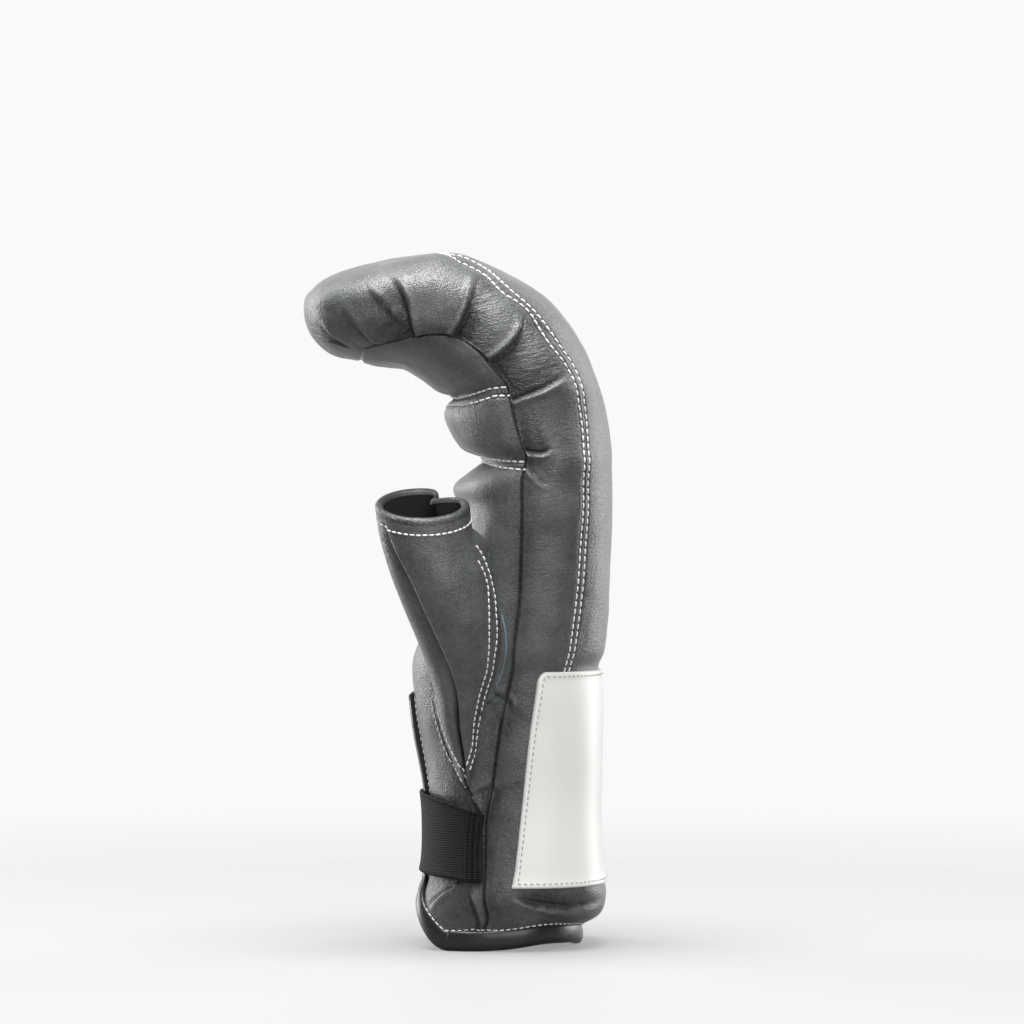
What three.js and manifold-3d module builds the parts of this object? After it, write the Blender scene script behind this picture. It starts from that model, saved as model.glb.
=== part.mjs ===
// Right-hand bag glove for punch bag training, standing on its bound cuff.
// A padded leather mitt curls over the fingers, an open thumb sleeve is sewn to the palm,
// the palm is slit at the wrist and closed by elastic, and a white patch wraps the back of the wrist.
// Millimetres. +Z is up, the back of the hand faces +X, the fingers curl to -X, the thumb is at -Y.
import * as THREE from "three";
import { mergeVertices } from "three/addons/utils/BufferGeometryUtils.js";
import Module from "manifold-3d";

const wasm = await Module();
wasm.setup();

// Driving sizes
const HEIGHT = 270; // floor to the top of the curled fist
const DEPTH = 120; // fingertips to the back of the hand
const HAND_WIDTH = 108; // across the knuckles
const BACK_PAD = 20; // leather and foam over the back of the fingers
const PALM_PAD = 8; // leather and filling of the palm rolls
const SIDE_WALL = 6.5; // leather and foam at the sides of the hand
const HEM_HEIGHT = 7; // rolled edging round the cuff
const SLIT_HEIGHT = 4.5; // narrower edging up the palm slit
const EDGING_LIP = 1; // how far the edging stands proud of the leather
const SLIT_WIDTH = 22; // between the leather edges of the palm slit at the cuff
const SLIT_TOP_WIDTH = 17; // and at its top
const SLIT_TOP = 98; // floor to the top of the slit
const HEM_LIFT = 26; // how far the cuff's corners round up into the slit
const LIFT_REACH = 62; // degrees round the cuff over which a corner rounds up
const ELASTIC_THICKNESS = 1.6;
const ELASTIC_WIDTH = 31; // over the slit
const ELASTIC_END_WIDTH = 26.5; // where it is gathered into the palm seams
const ELASTIC_BOTTOM = 29; // floor to the lower edge of the elastic over the slit
const ELASTIC_END_DROP = 2.5; // how much lower that edge lies at the palm seams
const PATCH_THICKNESS = 1.2;
const PATCH_BOTTOM = 24.5; // floor to the lower edge of the wrist patch
const PATCH_HEIGHT = 83;
const THUMB_WALL = 2.2; // leather and lining of the thumb sleeve
const THUMB_RIM = 0.8; // extra thickness of the turned hem at the thumb's mouth
const FOLD_DEPTH = 4; // valley to crest of the gathers over the knuckles
const SEAM_DIP = 1.2; // how far the leather is drawn in at a seam
const DIP_ANGLE = 0.11; // radians over which the dip fades round the section
const DIP_STATIONS = 0.3; // stations over which it fades along the mitt
const GAP = 0.35; // clearance between sewn pieces
const ROUNDNESS = 2.5; // exponent of the rounded cross-sections

// Cross-sections from the cuff to the fingertips. backX and palmX are shares of DEPTH,
// backZ and palmZ of the height above the cuff edge, width of HAND_WIDTH.
// seam is the way from palm to back where the palm seam lies. back, palm and side are shares of the walls.
const SECTION_COLUMNS = ["backX", "backZ", "palmX", "palmZ", "width", "seam", "back", "palm", "side"];
const SECTIONS = [
  [0.92, 0.0, 0.335, 0.0, 0.76, 0.44, 0.2, 0.4, 0.5],
  [0.964, 0.018, 0.34, 0.018, 0.8, 0.41, 0.22, 0.4, 0.5],
  [0.982, 0.05, 0.36, 0.05, 0.85, 0.36, 0.25, 0.4, 0.5],
  [0.965, 0.0875, 0.406, 0.0875, 0.84, 0.32, 0.25, 0.4, 0.5],
  [0.957, 0.159, 0.413, 0.159, 0.83, 0.32, 0.25, 0.4, 0.5],
  [0.958, 0.218, 0.4, 0.218, 0.83, 0.38, 0.25, 0.4, 0.5],
  [0.961, 0.292, 0.37, 0.292, 0.85, 0.45, 0.3, 0.4, 0.6],
  [0.96, 0.344, 0.357, 0.344, 0.87, 0.5, 0.45, 0.45, 0.7],
  [0.955, 0.384, 0.351, 0.384, 0.88, 0.54, 0.6, 0.5, 0.8],
  [0.977, 0.414, 0.367, 0.414, 0.92, 0.515, 0.85, 0.55, 0.9],
  [0.987, 0.485, 0.429, 0.485, 0.95, 0.485, 1.0, 0.6, 1.0],
  [0.994, 0.559, 0.487, 0.559, 0.98, 0.43, 1.0, 0.6, 1.0],
  [1.0, 0.619, 0.503, 0.619, 1.0, 0.41, 1.0, 0.6, 1.0],
  [1.0, 0.656, 0.49, 0.653, 1.0, 0.425, 1.0, 0.6, 1.0],
  [0.997, 0.688, 0.574, 0.691, 1.0, 0.34, 1.0, 0.4, 1.0],
  [0.994, 0.715, 0.5, 0.714, 1.0, 0.41, 1.0, 0.8, 1.0],
  [0.984, 0.748, 0.446, 0.751, 1.0, 0.44, 1.0, 1.0, 1.0],
  [0.974, 0.773, 0.45, 0.774, 1.0, 0.42, 1.0, 0.9, 1.0],
  [0.958, 0.801, 0.484, 0.791, 1.0, 0.37, 1.0, 0.4, 1.0],
  [0.916, 0.849, 0.427, 0.802, 0.99, 0.39, 1.0, 0.55, 1.0],
  [0.851, 0.896, 0.372, 0.816, 0.98, 0.4, 1.0, 0.6, 1.0],
  [0.76, 0.938, 0.321, 0.829, 0.97, 0.36, 1.0, 0.6, 1.0],
  [0.636, 0.973, 0.273, 0.832, 0.96, 0.27, 0.95, 0.6, 1.0],
  [0.49, 0.998, 0.231, 0.834, 0.94, 0.18, 0.9, 0.5, 1.0],
  [0.344, 0.994, 0.195, 0.837, 0.91, 0.12, 0.85, 0.4, 1.0],
  [0.188, 0.978, 0.149, 0.843, 0.86, 0.12, 0.8, 0.4, 1.0],
  [0.078, 0.96, 0.091, 0.85, 0.77, 0.12, 0.75, 0.4, 1.0],
  [0.029, 0.943, 0.045, 0.866, 0.62, 0.12, 0.7, 0.4, 1.0],
  [0.006, 0.93, 0.018, 0.883, 0.42, 0.12, 0.6, 0.4, 1.0],
  [0.0, 0.906, 0.0, 0.906, 0.0, 0.12, 0.5, 0.4, 1.0],
];

// Gathers of the side leather: the station of each at the palm seam, how far it slants towards the tip,
// and its share of FOLD_DEPTH.
const FOLDS = [
  { station: 14.7, slant: 0.3, depth: 0.6 },
  { station: 17.6, slant: 0.9, depth: 1 },
  { station: 19.5, slant: 1.1, depth: 1 },
  { station: 21.1, slant: 1.3, depth: 1 },
  { station: 22.1, slant: 2.0, depth: 0.9 },
  { station: 23.5, slant: 2.1, depth: 0.6 },
  { station: 24.7, slant: 2.1, depth: 0.3 },
];
const FOLD_FADE = 1; // stations over which the gathers die out before the first and after the last
const FOLD_RUN_IN = 0.25; // radians from the seam to the full depth of the gathers
const MEAN_FOLD = 0.6; // share of the depth that lies below the smooth section

// Stations where something starts or ends
const STATION = {
  liftEnd: 6, // the cuff's lifted corners have died out
  smoothEnd: 13, // the gathers' slant sets in
  padRound: 19.9, // the back pad's end starts to round
  padEnd: 21.65, // the back pad's rounded end
  pocketEnd: 24, // the finger pocket starts to close
  palmEnd: 24.3, // the palm panel meets the fingertips
  tip: SECTIONS.length - 1, // the fingertips
};
const POCKET_SLOWDOWN = 0.4; // the pocket's end runs this share of the way that the outside does
const PAD_EDGE = 0.85; // way from palm to back where the back pad's edge lies

// Thumb sleeve from its mouth to the point where it is sewn in. left and right are shares of DEPTH,
// z of HEIGHT, centre and half of half the HAND_WIDTH. crease is the angle in degrees of the crease along
// it, and lean is how much lower the section lies on the viewer's side, per millimetre.
const THUMB_COLUMNS = ["left", "right", "z", "centre", "half", "crease", "lean"];
const THUMB = [
  [0.24, 0.543, 0.631, -0.99, 0.278, 215, 0.42],
  [0.252, 0.556, 0.593, -0.98, 0.296, 225, 0.36],
  [0.284, 0.606, 0.544, -0.95, 0.333, 235, 0.27],
  [0.328, 0.638, 0.492, -0.9, 0.352, 240, 0.19],
  [0.372, 0.648, 0.445, -0.852, 0.352, 244, 0.12],
  [0.407, 0.635, 0.404, -0.796, 0.333, 252, 0.08],
  [0.429, 0.609, 0.368, -0.76, 0.287, 260, 0.04],
  [0.448, 0.574, 0.324, -0.74, 0.213, 265, 0.0],
  [0.484, 0.565, 0.278, -0.73, 0.148, 268, 0.0],
  [0.522, 0.545, 0.236, -0.722, 0.093, 270, 0.0],
];
const THUMB_SEAM = 75; // angle in degrees of the sleeve's seam on the side away from the viewer
const CREASE_DEPTH = 3;
const CREASE_SPREAD = 14; // degrees over which the crease fades
const LEAST_HOLLOW = 0.15; // share of the section that the hollow keeps where the sleeve closes
const THUMB_STEP = 0.5; // stations between the sleeve's sections

const CUFF_Z = HEM_HEIGHT + GAP;
const RISE = HEIGHT - CUFF_Z;
const HALF_WIDTH = HAND_WIDTH / 2;

const clamp = (x, low, high) => Math.min(high, Math.max(low, x));
const mix = (a, b, f) => a + (b - a) * f;
const smooth = (x) => THREE.MathUtils.smoothstep(x, 0, 1);
const signedPower = (x, p) => Math.sign(x) * Math.abs(x) ** p;
const radians = THREE.MathUtils.degToRad;

// A smooth curve through the rows of a table, as an object with the table's named columns.
function tableAt(rows, columns, station) {
  const s = clamp(station, 0, rows.length - 1);
  const i = Math.min(Math.floor(s), rows.length - 2);
  const f = s - i;
  const pick = (k, c) => rows[clamp(k, 0, rows.length - 1)][c];
  const value = {};
  columns.forEach((name, c) => {
    const [a, b, d, e] = [pick(i - 1, c), pick(i, c), pick(i + 1, c), pick(i + 2, c)];
    value[name] = b + 0.5 * f * (d - a + f * (2 * a - 5 * b + 4 * d - e + f * (3 * (b - d) + e - a)));
  });
  return value;
}

// One cross-section of the mitt. Angles on it run from the palm (0) round to the back (pi).
function sectionAt(station) {
  const row = tableAt(SECTIONS, SECTION_COLUMNS, station);
  const back = new THREE.Vector3(row.backX * DEPTH, 0, CUFF_Z + row.backZ * RISE);
  const palm = new THREE.Vector3(row.palmX * DEPTH, 0, CUFF_Z + row.palmZ * RISE);
  const along = back.clone().sub(palm);
  const depth = along.length();
  if (depth > 0) along.divideScalar(depth);
  return { ...row, palmPoint: palm, along, depth, halfWidth: Math.max(0, row.width * HALF_WIDTH) };
}

const angleAtWay = (way) => Math.acos(-signedPower(2 * way - 1, ROUNDNESS / 2));
const angleAtSide = (section, y) => Math.asin(clamp(y / section.halfWidth, 0, 1) ** (ROUNDNESS / 2));

// A point on the section's loop, drawn in by the three walls (or pushed out where they are negative).
function loopPoint(section, angle, walls) {
  const half = Math.max(0, section.depth - walls.back - walls.palm) / 2;
  const side = Math.max(0, section.halfWidth - walls.side);
  return section.palmPoint
    .clone()
    .addScaledVector(section.along, walls.palm + half + half * signedPower(-Math.cos(angle), 2 / ROUNDNESS))
    .add(new THREE.Vector3(0, side * signedPower(Math.sin(angle), 2 / ROUNDNESS), 0));
}

const evenWalls = (inset) => ({ back: inset, palm: inset, side: inset });

// The station, near the straight cuff and palm, whose section lies at height z.
function stationAtHeight(z) {
  let low = 0;
  let high = STATION.smoothEnd;
  for (let i = 0; i < 40; i++) {
    const middle = (low + high) / 2;
    if (CUFF_Z + tableAt(SECTIONS, SECTION_COLUMNS, middle).palmZ * RISE < z) low = middle;
    else high = middle;
  }
  return low;
}

// Gathers: a count that rises by one from each fold to the next, and the slant of the sections there.
function foldCount(station) {
  const folds = FOLDS.map((fold) => fold.station);
  const stops = [folds[0] - FOLD_FADE, ...folds, folds.at(-1) + FOLD_FADE];
  const i = stops.findIndex((stop, k) => k > 0 && station <= stop);
  if (i < 0 || station < stops[0]) return null;
  return i - 1 + (station - stops[i - 1]) / (stops[i] - stops[i - 1]);
}

// A fold's slant or depth, carried over between the folds
function foldValue(name, station) {
  const flat = { slant: 0, depth: 0 };
  const stops = [{ station: STATION.smoothEnd, ...flat }, ...FOLDS, { station: STATION.tip, ...flat }];
  const i = stops.findIndex((stop, k) => k > 0 && station <= stop.station);
  if (i < 0 || station < stops[0].station) return 0;
  const [a, b] = [stops[i - 1], stops[i]];
  return mix(a[name], b[name], (station - a.station) / (b.station - a.station));
}

const seamAngle = (station) => angleAtWay(tableAt(SECTIONS, SECTION_COLUMNS, station).seam);

// The angle of the back pad's edge, which closes over the back in a rounded end.
function padAngle(station, margin) {
  const edge = angleAtWay(PAD_EDGE) - margin;
  const end = STATION.padEnd + margin / 2;
  const round = clamp((station - STATION.padRound) / (end - STATION.padRound), 0, 1);
  return Math.PI - (Math.PI - edge) * (1 - round ** ROUNDNESS) ** (1 / ROUNDNESS);
}

// How high above the cuff edge's level the cuff starts, round from the palm slit.
function cuffLift(angle) {
  return HEM_LIFT * Math.max(0, 1 - Math.abs(angle) / radians(LIFT_REACH)) ** 1.25;
}

// The station on which a point of the mitt's own grid really lies.
function gridStation(station, angle) {
  const seam = seamAngle(station);
  const turn = Math.abs(angle);
  if (turn > seam) return station + (foldValue("slant", station) * (turn - seam)) / (Math.PI - seam);
  if (station >= STATION.liftEnd) return station;
  const z = CUFF_Z + tableAt(SECTIONS, SECTION_COLUMNS, station).palmZ * RISE;
  const endZ = CUFF_Z + tableAt(SECTIONS, SECTION_COLUMNS, STATION.liftEnd).palmZ * RISE;
  const remaining = (endZ - z) / (endZ - CUFF_Z);
  return stationAtHeight(z + cuffLift(angle) * remaining ** 2);
}

// Seams draw the leather in, and the gathers stand out between their folds.
function relief(station, angle) {
  const seam = seamAngle(station);
  const turn = Math.abs(angle);
  const edge = padAngle(station, 0);
  const near = (x, reach) => Math.exp(-((x / reach) ** 2));
  const before = (end) => near(Math.max(0, station - end), DIP_STATIONS);
  const alongSeam = near(turn - seam, DIP_ANGLE) * before(STATION.palmEnd);
  const alongEnd = turn < seam ? near(station - STATION.palmEnd, DIP_STATIONS) : 0;
  const alongPad = near(turn - edge, DIP_ANGLE) * before(STATION.padEnd);
  const count = foldCount(station);
  const inSide = turn > seam && turn < edge;
  const toPad = clamp((turn - seam) / (edge - seam), 0, 1);
  const fade = smooth((turn - seam) / FOLD_RUN_IN) * (1 - toPad) ** 0.6;
  const ends = count === null ? 0 : smooth(count) * smooth(FOLDS.length + 1 - count);
  const depth = FOLD_DEPTH * foldValue("depth", station) * ends * fade;
  const fold = inSide ? depth * (Math.abs(Math.sin(Math.PI * count)) - MEAN_FOLD) : 0;
  return fold - SEAM_DIP * Math.max(alongSeam, alongEnd, alongPad);
}

function outerPoint(station, angle) {
  const section = sectionAt(gridStation(station, angle));
  return loopPoint(section, angle, evenWalls(-relief(station, angle)));
}

// The finger pocket ends inside the padded tip, so its sections slow down and shrink past STATION.pocketEnd.
function innerPoint(station, angle) {
  const s = gridStation(station, angle);
  const past = clamp((s - STATION.pocketEnd) / (STATION.tip - STATION.pocketEnd), 0, 1);
  const section = sectionAt(s - (1 - POCKET_SLOWDOWN) * Math.max(0, s - STATION.pocketEnd));
  const walls = {
    back: section.back * BACK_PAD,
    palm: section.palm * PALM_PAD,
    side: section.side * SIDE_WALL,
  };
  const point = loopPoint(section, angle, walls);
  const centre = loopPoint(section, 0, walls).lerp(loopPoint(section, Math.PI, walls), 0.5);
  return centre.lerp(point, Math.sqrt(1 - past ** 2));
}

// A closed solid from bricks between an outer and an inner grid. Faces that two bricks share cancel out.
function bricks(rows, columns, outer, inner, filled) {
  const points = [];
  const ids = new Map();
  const idOf = (p) => {
    const key = p.toArray().map((x) => Math.round(x * 1e3)).join();
    if (!ids.has(key)) {
      ids.set(key, points.length);
      points.push(p);
    }
    return ids.get(key);
  };
  const grid = (surface) => rows.map((row) => columns.map((column) => idOf(surface(row, column))));
  const [outside, inside] = [grid(outer), grid(inner)];
  const faces = new Map();
  const addFace = (a, b, c) => {
    if (a === b || b === c || a === c) return;
    const key = [a, b, c].sort((x, y) => x - y).join();
    const kept = faces.get(key) ?? [];
    const opposite = kept.findIndex((face) => face[(face.indexOf(a) + 1) % 3] === c);
    if (opposite >= 0) kept.splice(opposite, 1);
    else kept.push([a, b, c]);
    faces.set(key, kept);
  };
  const addQuad = (a, b, c, d) => {
    if (Math.min(a, c) < Math.min(b, d)) {
      addFace(a, b, c);
      addFace(a, c, d);
    } else {
      addFace(a, b, d);
      addFace(b, c, d);
    }
  };
  for (let i = 0; i + 1 < rows.length; i++) {
    for (let j = 0; j + 1 < columns.length; j++) {
      if (!filled(i, j)) continue;
      const [a, b, c, d] = [outside[i][j], outside[i][j + 1], outside[i + 1][j + 1], outside[i + 1][j]];
      const [e, f, g, h] = [inside[i][j], inside[i][j + 1], inside[i + 1][j + 1], inside[i + 1][j]];
      addQuad(d, c, b, a);
      addQuad(e, f, g, h);
      addQuad(f, e, a, b);
      addQuad(h, g, c, d);
      addQuad(e, h, d, a);
      addQuad(g, f, b, c);
    }
  }
  return solidFrom(points, [...faces.values()].flat().flat());
}

function solidFrom(points, corners) {
  const geometry = new THREE.BufferGeometry().setFromPoints(points);
  geometry.setIndex(corners);
  const merged = mergeVertices(geometry, 1e-3);
  const mesh = new wasm.Mesh({
    numProp: 3,
    vertProperties: merged.attributes.position.array,
    triVerts: new Uint32Array(merged.index.array),
  });
  return new wasm.Manifold(mesh);
}

function geometryOf(solid) {
  const mesh = solid.getMesh();
  const geometry = new THREE.BufferGeometry();
  geometry.setAttribute("position", new THREE.BufferAttribute(mesh.vertProperties, 3));
  geometry.setIndex(new THREE.BufferAttribute(mesh.triVerts, 1));
  geometry.computeVertexNormals();
  return geometry;
}

// Rows of the mitt's grid: the table's stations, each fold and the crest after it, and each end.
function stationsOfMitt() {
  const folds = FOLDS.map((f) => f.station);
  const crests = folds.slice(1).map((s, i) => (s + folds[i]) / 2);
  const palmEnds = [STATION.palmEnd, STATION.palmEnd + END_GAP];
  const padEnds = [STATION.padEnd, STATION.padEnd + PAD_MARGIN / 2];
  const rounding = [0.35, 0.65, 0.85].map((share) => mix(STATION.padRound, STATION.padEnd, share));
  const fixed = [SLIT_STATION, ...folds, ...crests, ...rounding, ...palmEnds, ...padEnds];
  const isFree = (k) => k === STATION.tip || !fixed.some((s) => Math.abs(s - k) < CLOSEST_ROWS);
  return [...fixed, ...SECTIONS.map((_, k) => k).filter(isFree)].sort((a, b) => a - b);
}

const PAD_MARGIN = GAP / 20; // radians that part the back pad from the side leather
const END_GAP = 0.06; // stations that part the palm panel's end from the fingertips
const CLOSEST_ROWS = 0.25; // stations that a table row keeps from a fold or an end
const SLIT_STATION = stationAtHeight(SLIT_TOP);
const STATIONS = stationsOfMitt();

const PALM_COLUMNS = 6;
const SIDE_COLUMNS = 6;
const BACK_COLUMNS = 4;

// Columns of the mitt's grid, each a function of the station, from the palm's middle round to the back.
const slitWidth = (station) => mix(SLIT_WIDTH, SLIT_TOP_WIDTH, clamp(station / SLIT_STATION, 0, 1) ** 2);
const slitAngle = (station) => angleAtSide(sectionAt(station), slitWidth(station) / 2);
const between = (low, high, share) => (station) => mix(low(station), high(station), share);
const seamPalm = (station) => seamAngle(station) - GAP / 2 / HALF_WIDTH;
const seamSide = (station) => seamAngle(station) + GAP / 2 / HALF_WIDTH;
const padSide = (station) => padAngle(station, PAD_MARGIN);
const padBack = (station) => padAngle(station, 0);
const backMiddle = () => Math.PI;
const spread = (low, high, count) =>
  Array.from({ length: count }, (_, k) => between(low, high, (k + 1) / (count + 1)));

const halfColumns = [
  { sector: "slit", angle: slitAngle },
  ...spread(slitAngle, seamPalm, PALM_COLUMNS).map((angle) => ({ sector: "palm", angle })),
  { sector: "palm", angle: seamPalm },
  { sector: "none", angle: seamSide },
  ...spread(seamSide, padSide, SIDE_COLUMNS).map((angle) => ({ sector: "side", angle })),
  { sector: "side", angle: padSide },
  { sector: "none", angle: padBack },
  ...spread(padBack, backMiddle, BACK_COLUMNS).map((angle) => ({ sector: "back", angle })),
  { sector: "back", angle: backMiddle },
];
const MITT_COLUMNS = [
  ...halfColumns.map((c) => ({ side: -1, angle: c.angle })).reverse(),
  { side: 1, angle: () => 0 },
  ...halfColumns.map((c) => ({ side: 1, angle: c.angle })),
];
// The sector between a column and the next one
const MITT_SECTORS = [...halfColumns.map((c) => c.sector).reverse(), ...halfColumns.map((c) => c.sector)];

function mittPiece(filled) {
  const place = (surface) => (station, column) => surface(station, column.side * column.angle(station));
  return bricks(STATIONS, MITT_COLUMNS, place(outerPoint), place(innerPoint), (i, j) =>
    filled(STATIONS[i], MITT_SECTORS[j]),
  );
}

const backPad = mittPiece((station, sector) => sector === "back" && station < STATION.padEnd);
const sideLeather = mittPiece(
  (station, sector) => sector === "side" || (station > STATION.palmEnd && sector !== "back"),
);
const palmWhole = mittPiece((station, sector) => {
  const overSlit = sector === "slit" && station >= SLIT_STATION;
  return station < STATION.palmEnd && (sector === "palm" || overSlit);
});

// The mitt without its hollow, a little larger, which trims what is sewn on top of it.
function mittEnvelope(margin) {
  const columns = MITT_COLUMNS;
  const outside = (station, column) => {
    const angle = column.side * column.angle(station);
    const section = sectionAt(gridStation(station, angle));
    return loopPoint(section, angle, evenWalls(-margin - relief(station, angle)));
  };
  const core = (station) => {
    const section = sectionAt(station);
    return section.palmPoint.clone().addScaledVector(section.along, section.depth / 2);
  };
  return bricks(STATIONS, columns, outside, core, () => true);
}

// Thumb sleeve
const thumbAt = (station) => tableAt(THUMB, THUMB_COLUMNS, station);

function thumbPoint(station, degrees, wall) {
  const row = thumbAt(station);
  const angle = radians(degrees);
  const halfX = ((row.right - row.left) * DEPTH) / 2;
  const fromCrease = (((degrees - row.crease) % 360) + 540) % 360 - 180;
  const crease = CREASE_DEPTH * Math.exp(-((fromCrease / CREASE_SPREAD) ** 2)) * clamp(station, 0, 1);
  const shrink = Math.max(LEAST_HOLLOW, 1 - (wall + crease) / Math.min(halfX, row.half * HALF_WIDTH));
  const x = ((row.left + row.right) / 2) * DEPTH + halfX * shrink * Math.cos(angle);
  const across = row.half * HALF_WIDTH * shrink * Math.sin(angle);
  return new THREE.Vector3(x, row.centre * HALF_WIDTH + across, row.z * HEIGHT + row.lean * across);
}

const THUMB_STATIONS = Array.from({ length: (THUMB.length - 1) / THUMB_STEP + 1 }, (_, k) => k * THUMB_STEP);
const rimAt = (station) => (station < THUMB_STEP ? THUMB_RIM : 0);
const thumbOuter = (station, degrees) => thumbPoint(station, degrees, 0);
const thumbInner = (station, degrees) => thumbPoint(station, degrees, THUMB_WALL + rimAt(station));
const HALF_GAP_DEGREES = THREE.MathUtils.radToDeg(GAP / 2 / (THUMB[0][4] * HALF_WIDTH));

// One leather panel of the sleeve between two angles, which may follow the crease.
function thumbPanel(from, to, count) {
  const column = (k) => (station) => mix(from(station), to(station), k / count);
  const columns = Array.from({ length: count + 1 }, (_, k) => column(k));
  const place = (surface) => (station, column) => surface(station, column(station));
  return bricks(THUMB_STATIONS, columns, place(thumbOuter), place(thumbInner), () => true);
}

// The sleeve's hollow, which runs on into the hand.
function thumbHollow() {
  const columns = Array.from({ length: 17 }, (_, k) => (k * 360) / 16);
  const stations = THUMB_STATIONS.slice(1, -1);
  const core = (station) => {
    const row = thumbAt(station);
    return new THREE.Vector3(((row.left + row.right) / 2) * DEPTH, row.centre * HALF_WIDTH, row.z * HEIGHT);
  };
  return bricks(stations, columns, thumbInner, core, () => true);
}

const creaseAngle = (station) => thumbAt(station).crease;
const envelope = mittEnvelope(GAP);
const thumbFront = thumbPanel(
  (station) => creaseAngle(station) - 360 + HALF_GAP_DEGREES,
  () => THUMB_SEAM - HALF_GAP_DEGREES,
  14,
).subtract(envelope);
const thumbInside = thumbPanel(
  () => THUMB_SEAM + HALF_GAP_DEGREES,
  (station) => creaseAngle(station) - HALF_GAP_DEGREES,
  10,
).subtract(envelope);
const palmPanel = palmWhole.subtract(thumbHollow());

// Edging: a rolled strip past a leather edge, given the edge's outer and inner points in order.
function edging(path, height) {
  const frames = path.map(({ outer, inner }, k) => {
    const before = path[Math.max(0, k - 1)];
    const after = path[Math.min(path.length - 1, k + 1)];
    const forward = after.outer.clone().add(after.inner).sub(before.outer).sub(before.inner).normalize();
    const out = outer.clone().sub(inner).normalize();
    const past = new THREE.Vector3().crossVectors(out, forward).normalize();
    return { outer, inner, out, past };
  });
  const profile = [
    { from: "outer", out: EDGING_LIP, past: 0 },
    { from: "outer", out: EDGING_LIP, past: 0.7 },
    { from: "outer", out: -EDGING_LIP / 2, past: 1 },
    { from: "inner", out: EDGING_LIP / 2, past: 1 },
    { from: "inner", out: -EDGING_LIP, past: 0.7 },
    { from: "inner", out: -EDGING_LIP, past: 0 },
    { from: "outer", out: EDGING_LIP, past: 0 },
  ];
  const surface = (k, corner) =>
    frames[k][corner.from]
      .clone()
      .addScaledVector(frames[k].out, corner.out)
      .addScaledVector(frames[k].past, GAP + corner.past * height(k));
  const core = (k) =>
    frames[k].outer
      .clone()
      .lerp(frames[k].inner, 0.5)
      .addScaledVector(frames[k].past, GAP + 0.5 * height(k));
  return bricks([...path.keys()], profile, surface, core, () => true);
}

const edgePoint = (station, angle) => ({
  outer: outerPoint(station, angle),
  inner: innerPoint(station, angle),
});
const columnPoint = (station, column) => edgePoint(station, column.side * column.angle(station));
const partWay = (a, b, share) => ({
  outer: a.outer.clone().lerp(b.outer, share),
  inner: a.inner.clone().lerp(b.inner, share),
});

// The two edgings meet at one of the palm's columns, on both sides of the slit.
const JOIN_COLUMN = 5; // columns from the slit's edge
const middleColumn = halfColumns.length;
const joinColumns = [middleColumn - 1 - JOIN_COLUMN, middleColumn + 1 + JOIN_COLUMN];
const endGap = (a, b) => GAP / 2 / a.outer.distanceTo(b.outer);

// Both ends of a path drawn back by half the clearance
function withEndGaps(path) {
  const [first, second] = path;
  const [last, beforeLast] = [path.at(-1), path.at(-2)];
  const start = partWay(first, second, endGap(first, second));
  return [start, ...path.slice(1, -1), partWay(last, beforeLast, endGap(last, beforeLast))];
}

// The cuff's edge from the join on one side, round the back, to the join on the other.
const hemPath = withEndGaps([
  ...MITT_COLUMNS.slice(joinColumns[1]).map((column) => columnPoint(0, column)),
  ...MITT_COLUMNS.slice(1, joinColumns[0] + 1).map((column) => columnPoint(0, column)),
]);
const hemEdging = edging(hemPath, () => HEM_HEIGHT);

// The slit's edge from the join on one side, up one edge, over the top, and down to the other join.
const SLIT_COLUMN = halfColumns[0].angle;
const slitStations = STATIONS.filter((station) => station > 0 && station <= SLIT_STATION);
const slitHalf = (side) => [
  ...(side < 0
    ? MITT_COLUMNS.slice(joinColumns[0], middleColumn)
    : MITT_COLUMNS.slice(middleColumn + 1, joinColumns[1] + 1).reverse()
  ).map((column) => columnPoint(0, column)),
  ...slitStations.map((station) => edgePoint(station, side * SLIT_COLUMN(station))),
];
const slitPath = withEndGaps([...slitHalf(-1), edgePoint(SLIT_STATION, 0), ...slitHalf(1).reverse()]);
const slitEdging = edging(slitPath, () => SLIT_HEIGHT);

// A band that follows the mitt's surface a little way out. edges gives its lowest and highest level.
function band(edges, rows, columns, angleOf, low, thickness) {
  const ups = Array.from({ length: rows + 1 }, (_, k) => k / rows);
  const shares = Array.from({ length: columns + 1 }, (_, k) => k / columns);
  const place = (out) => (up, share) => {
    const { bottom, top } = edges(share);
    const station = stationAtHeight(mix(bottom, top, up));
    return loopPoint(sectionAt(station), angleOf(station, up, share), evenWalls(-out));
  };
  return bricks(ups, shares, place(low + thickness), place(low), () => true);
}

// The elastic crosses the palm from seam to seam, over the slit's edging, and is drawn together at its ends.
const elasticEdges = (share) => {
  const toEnd = (2 * share - 1) ** 2;
  const bottom = ELASTIC_BOTTOM - ELASTIC_END_DROP * toEnd;
  return { bottom, top: bottom + mix(ELASTIC_WIDTH, ELASTIC_END_WIDTH, toEnd) };
};
const elastic = band(
  elasticEdges,
  3,
  20,
  (station, _, share) => mix(-seamAngle(station), seamAngle(station), share),
  EDGING_LIP + 3 * GAP,
  ELASTIC_THICKNESS,
);

// The patch wraps the back of the wrist, wider at the bottom.
const PATCH_EDGE_LOW = 0.49; // way from palm to back of its lower corners
const PATCH_EDGE_HIGH = 0.68;
const patch = band(
  () => ({ bottom: PATCH_BOTTOM, top: PATCH_BOTTOM + PATCH_HEIGHT }),
  7,
  16,
  (station, up, share) => {
    const edge = angleAtWay(mix(PATCH_EDGE_LOW, PATCH_EDGE_HIGH, up ** 1.3));
    return mix(edge, 2 * Math.PI - edge, share);
  },
  GAP,
  PATCH_THICKNESS,
);

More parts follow.
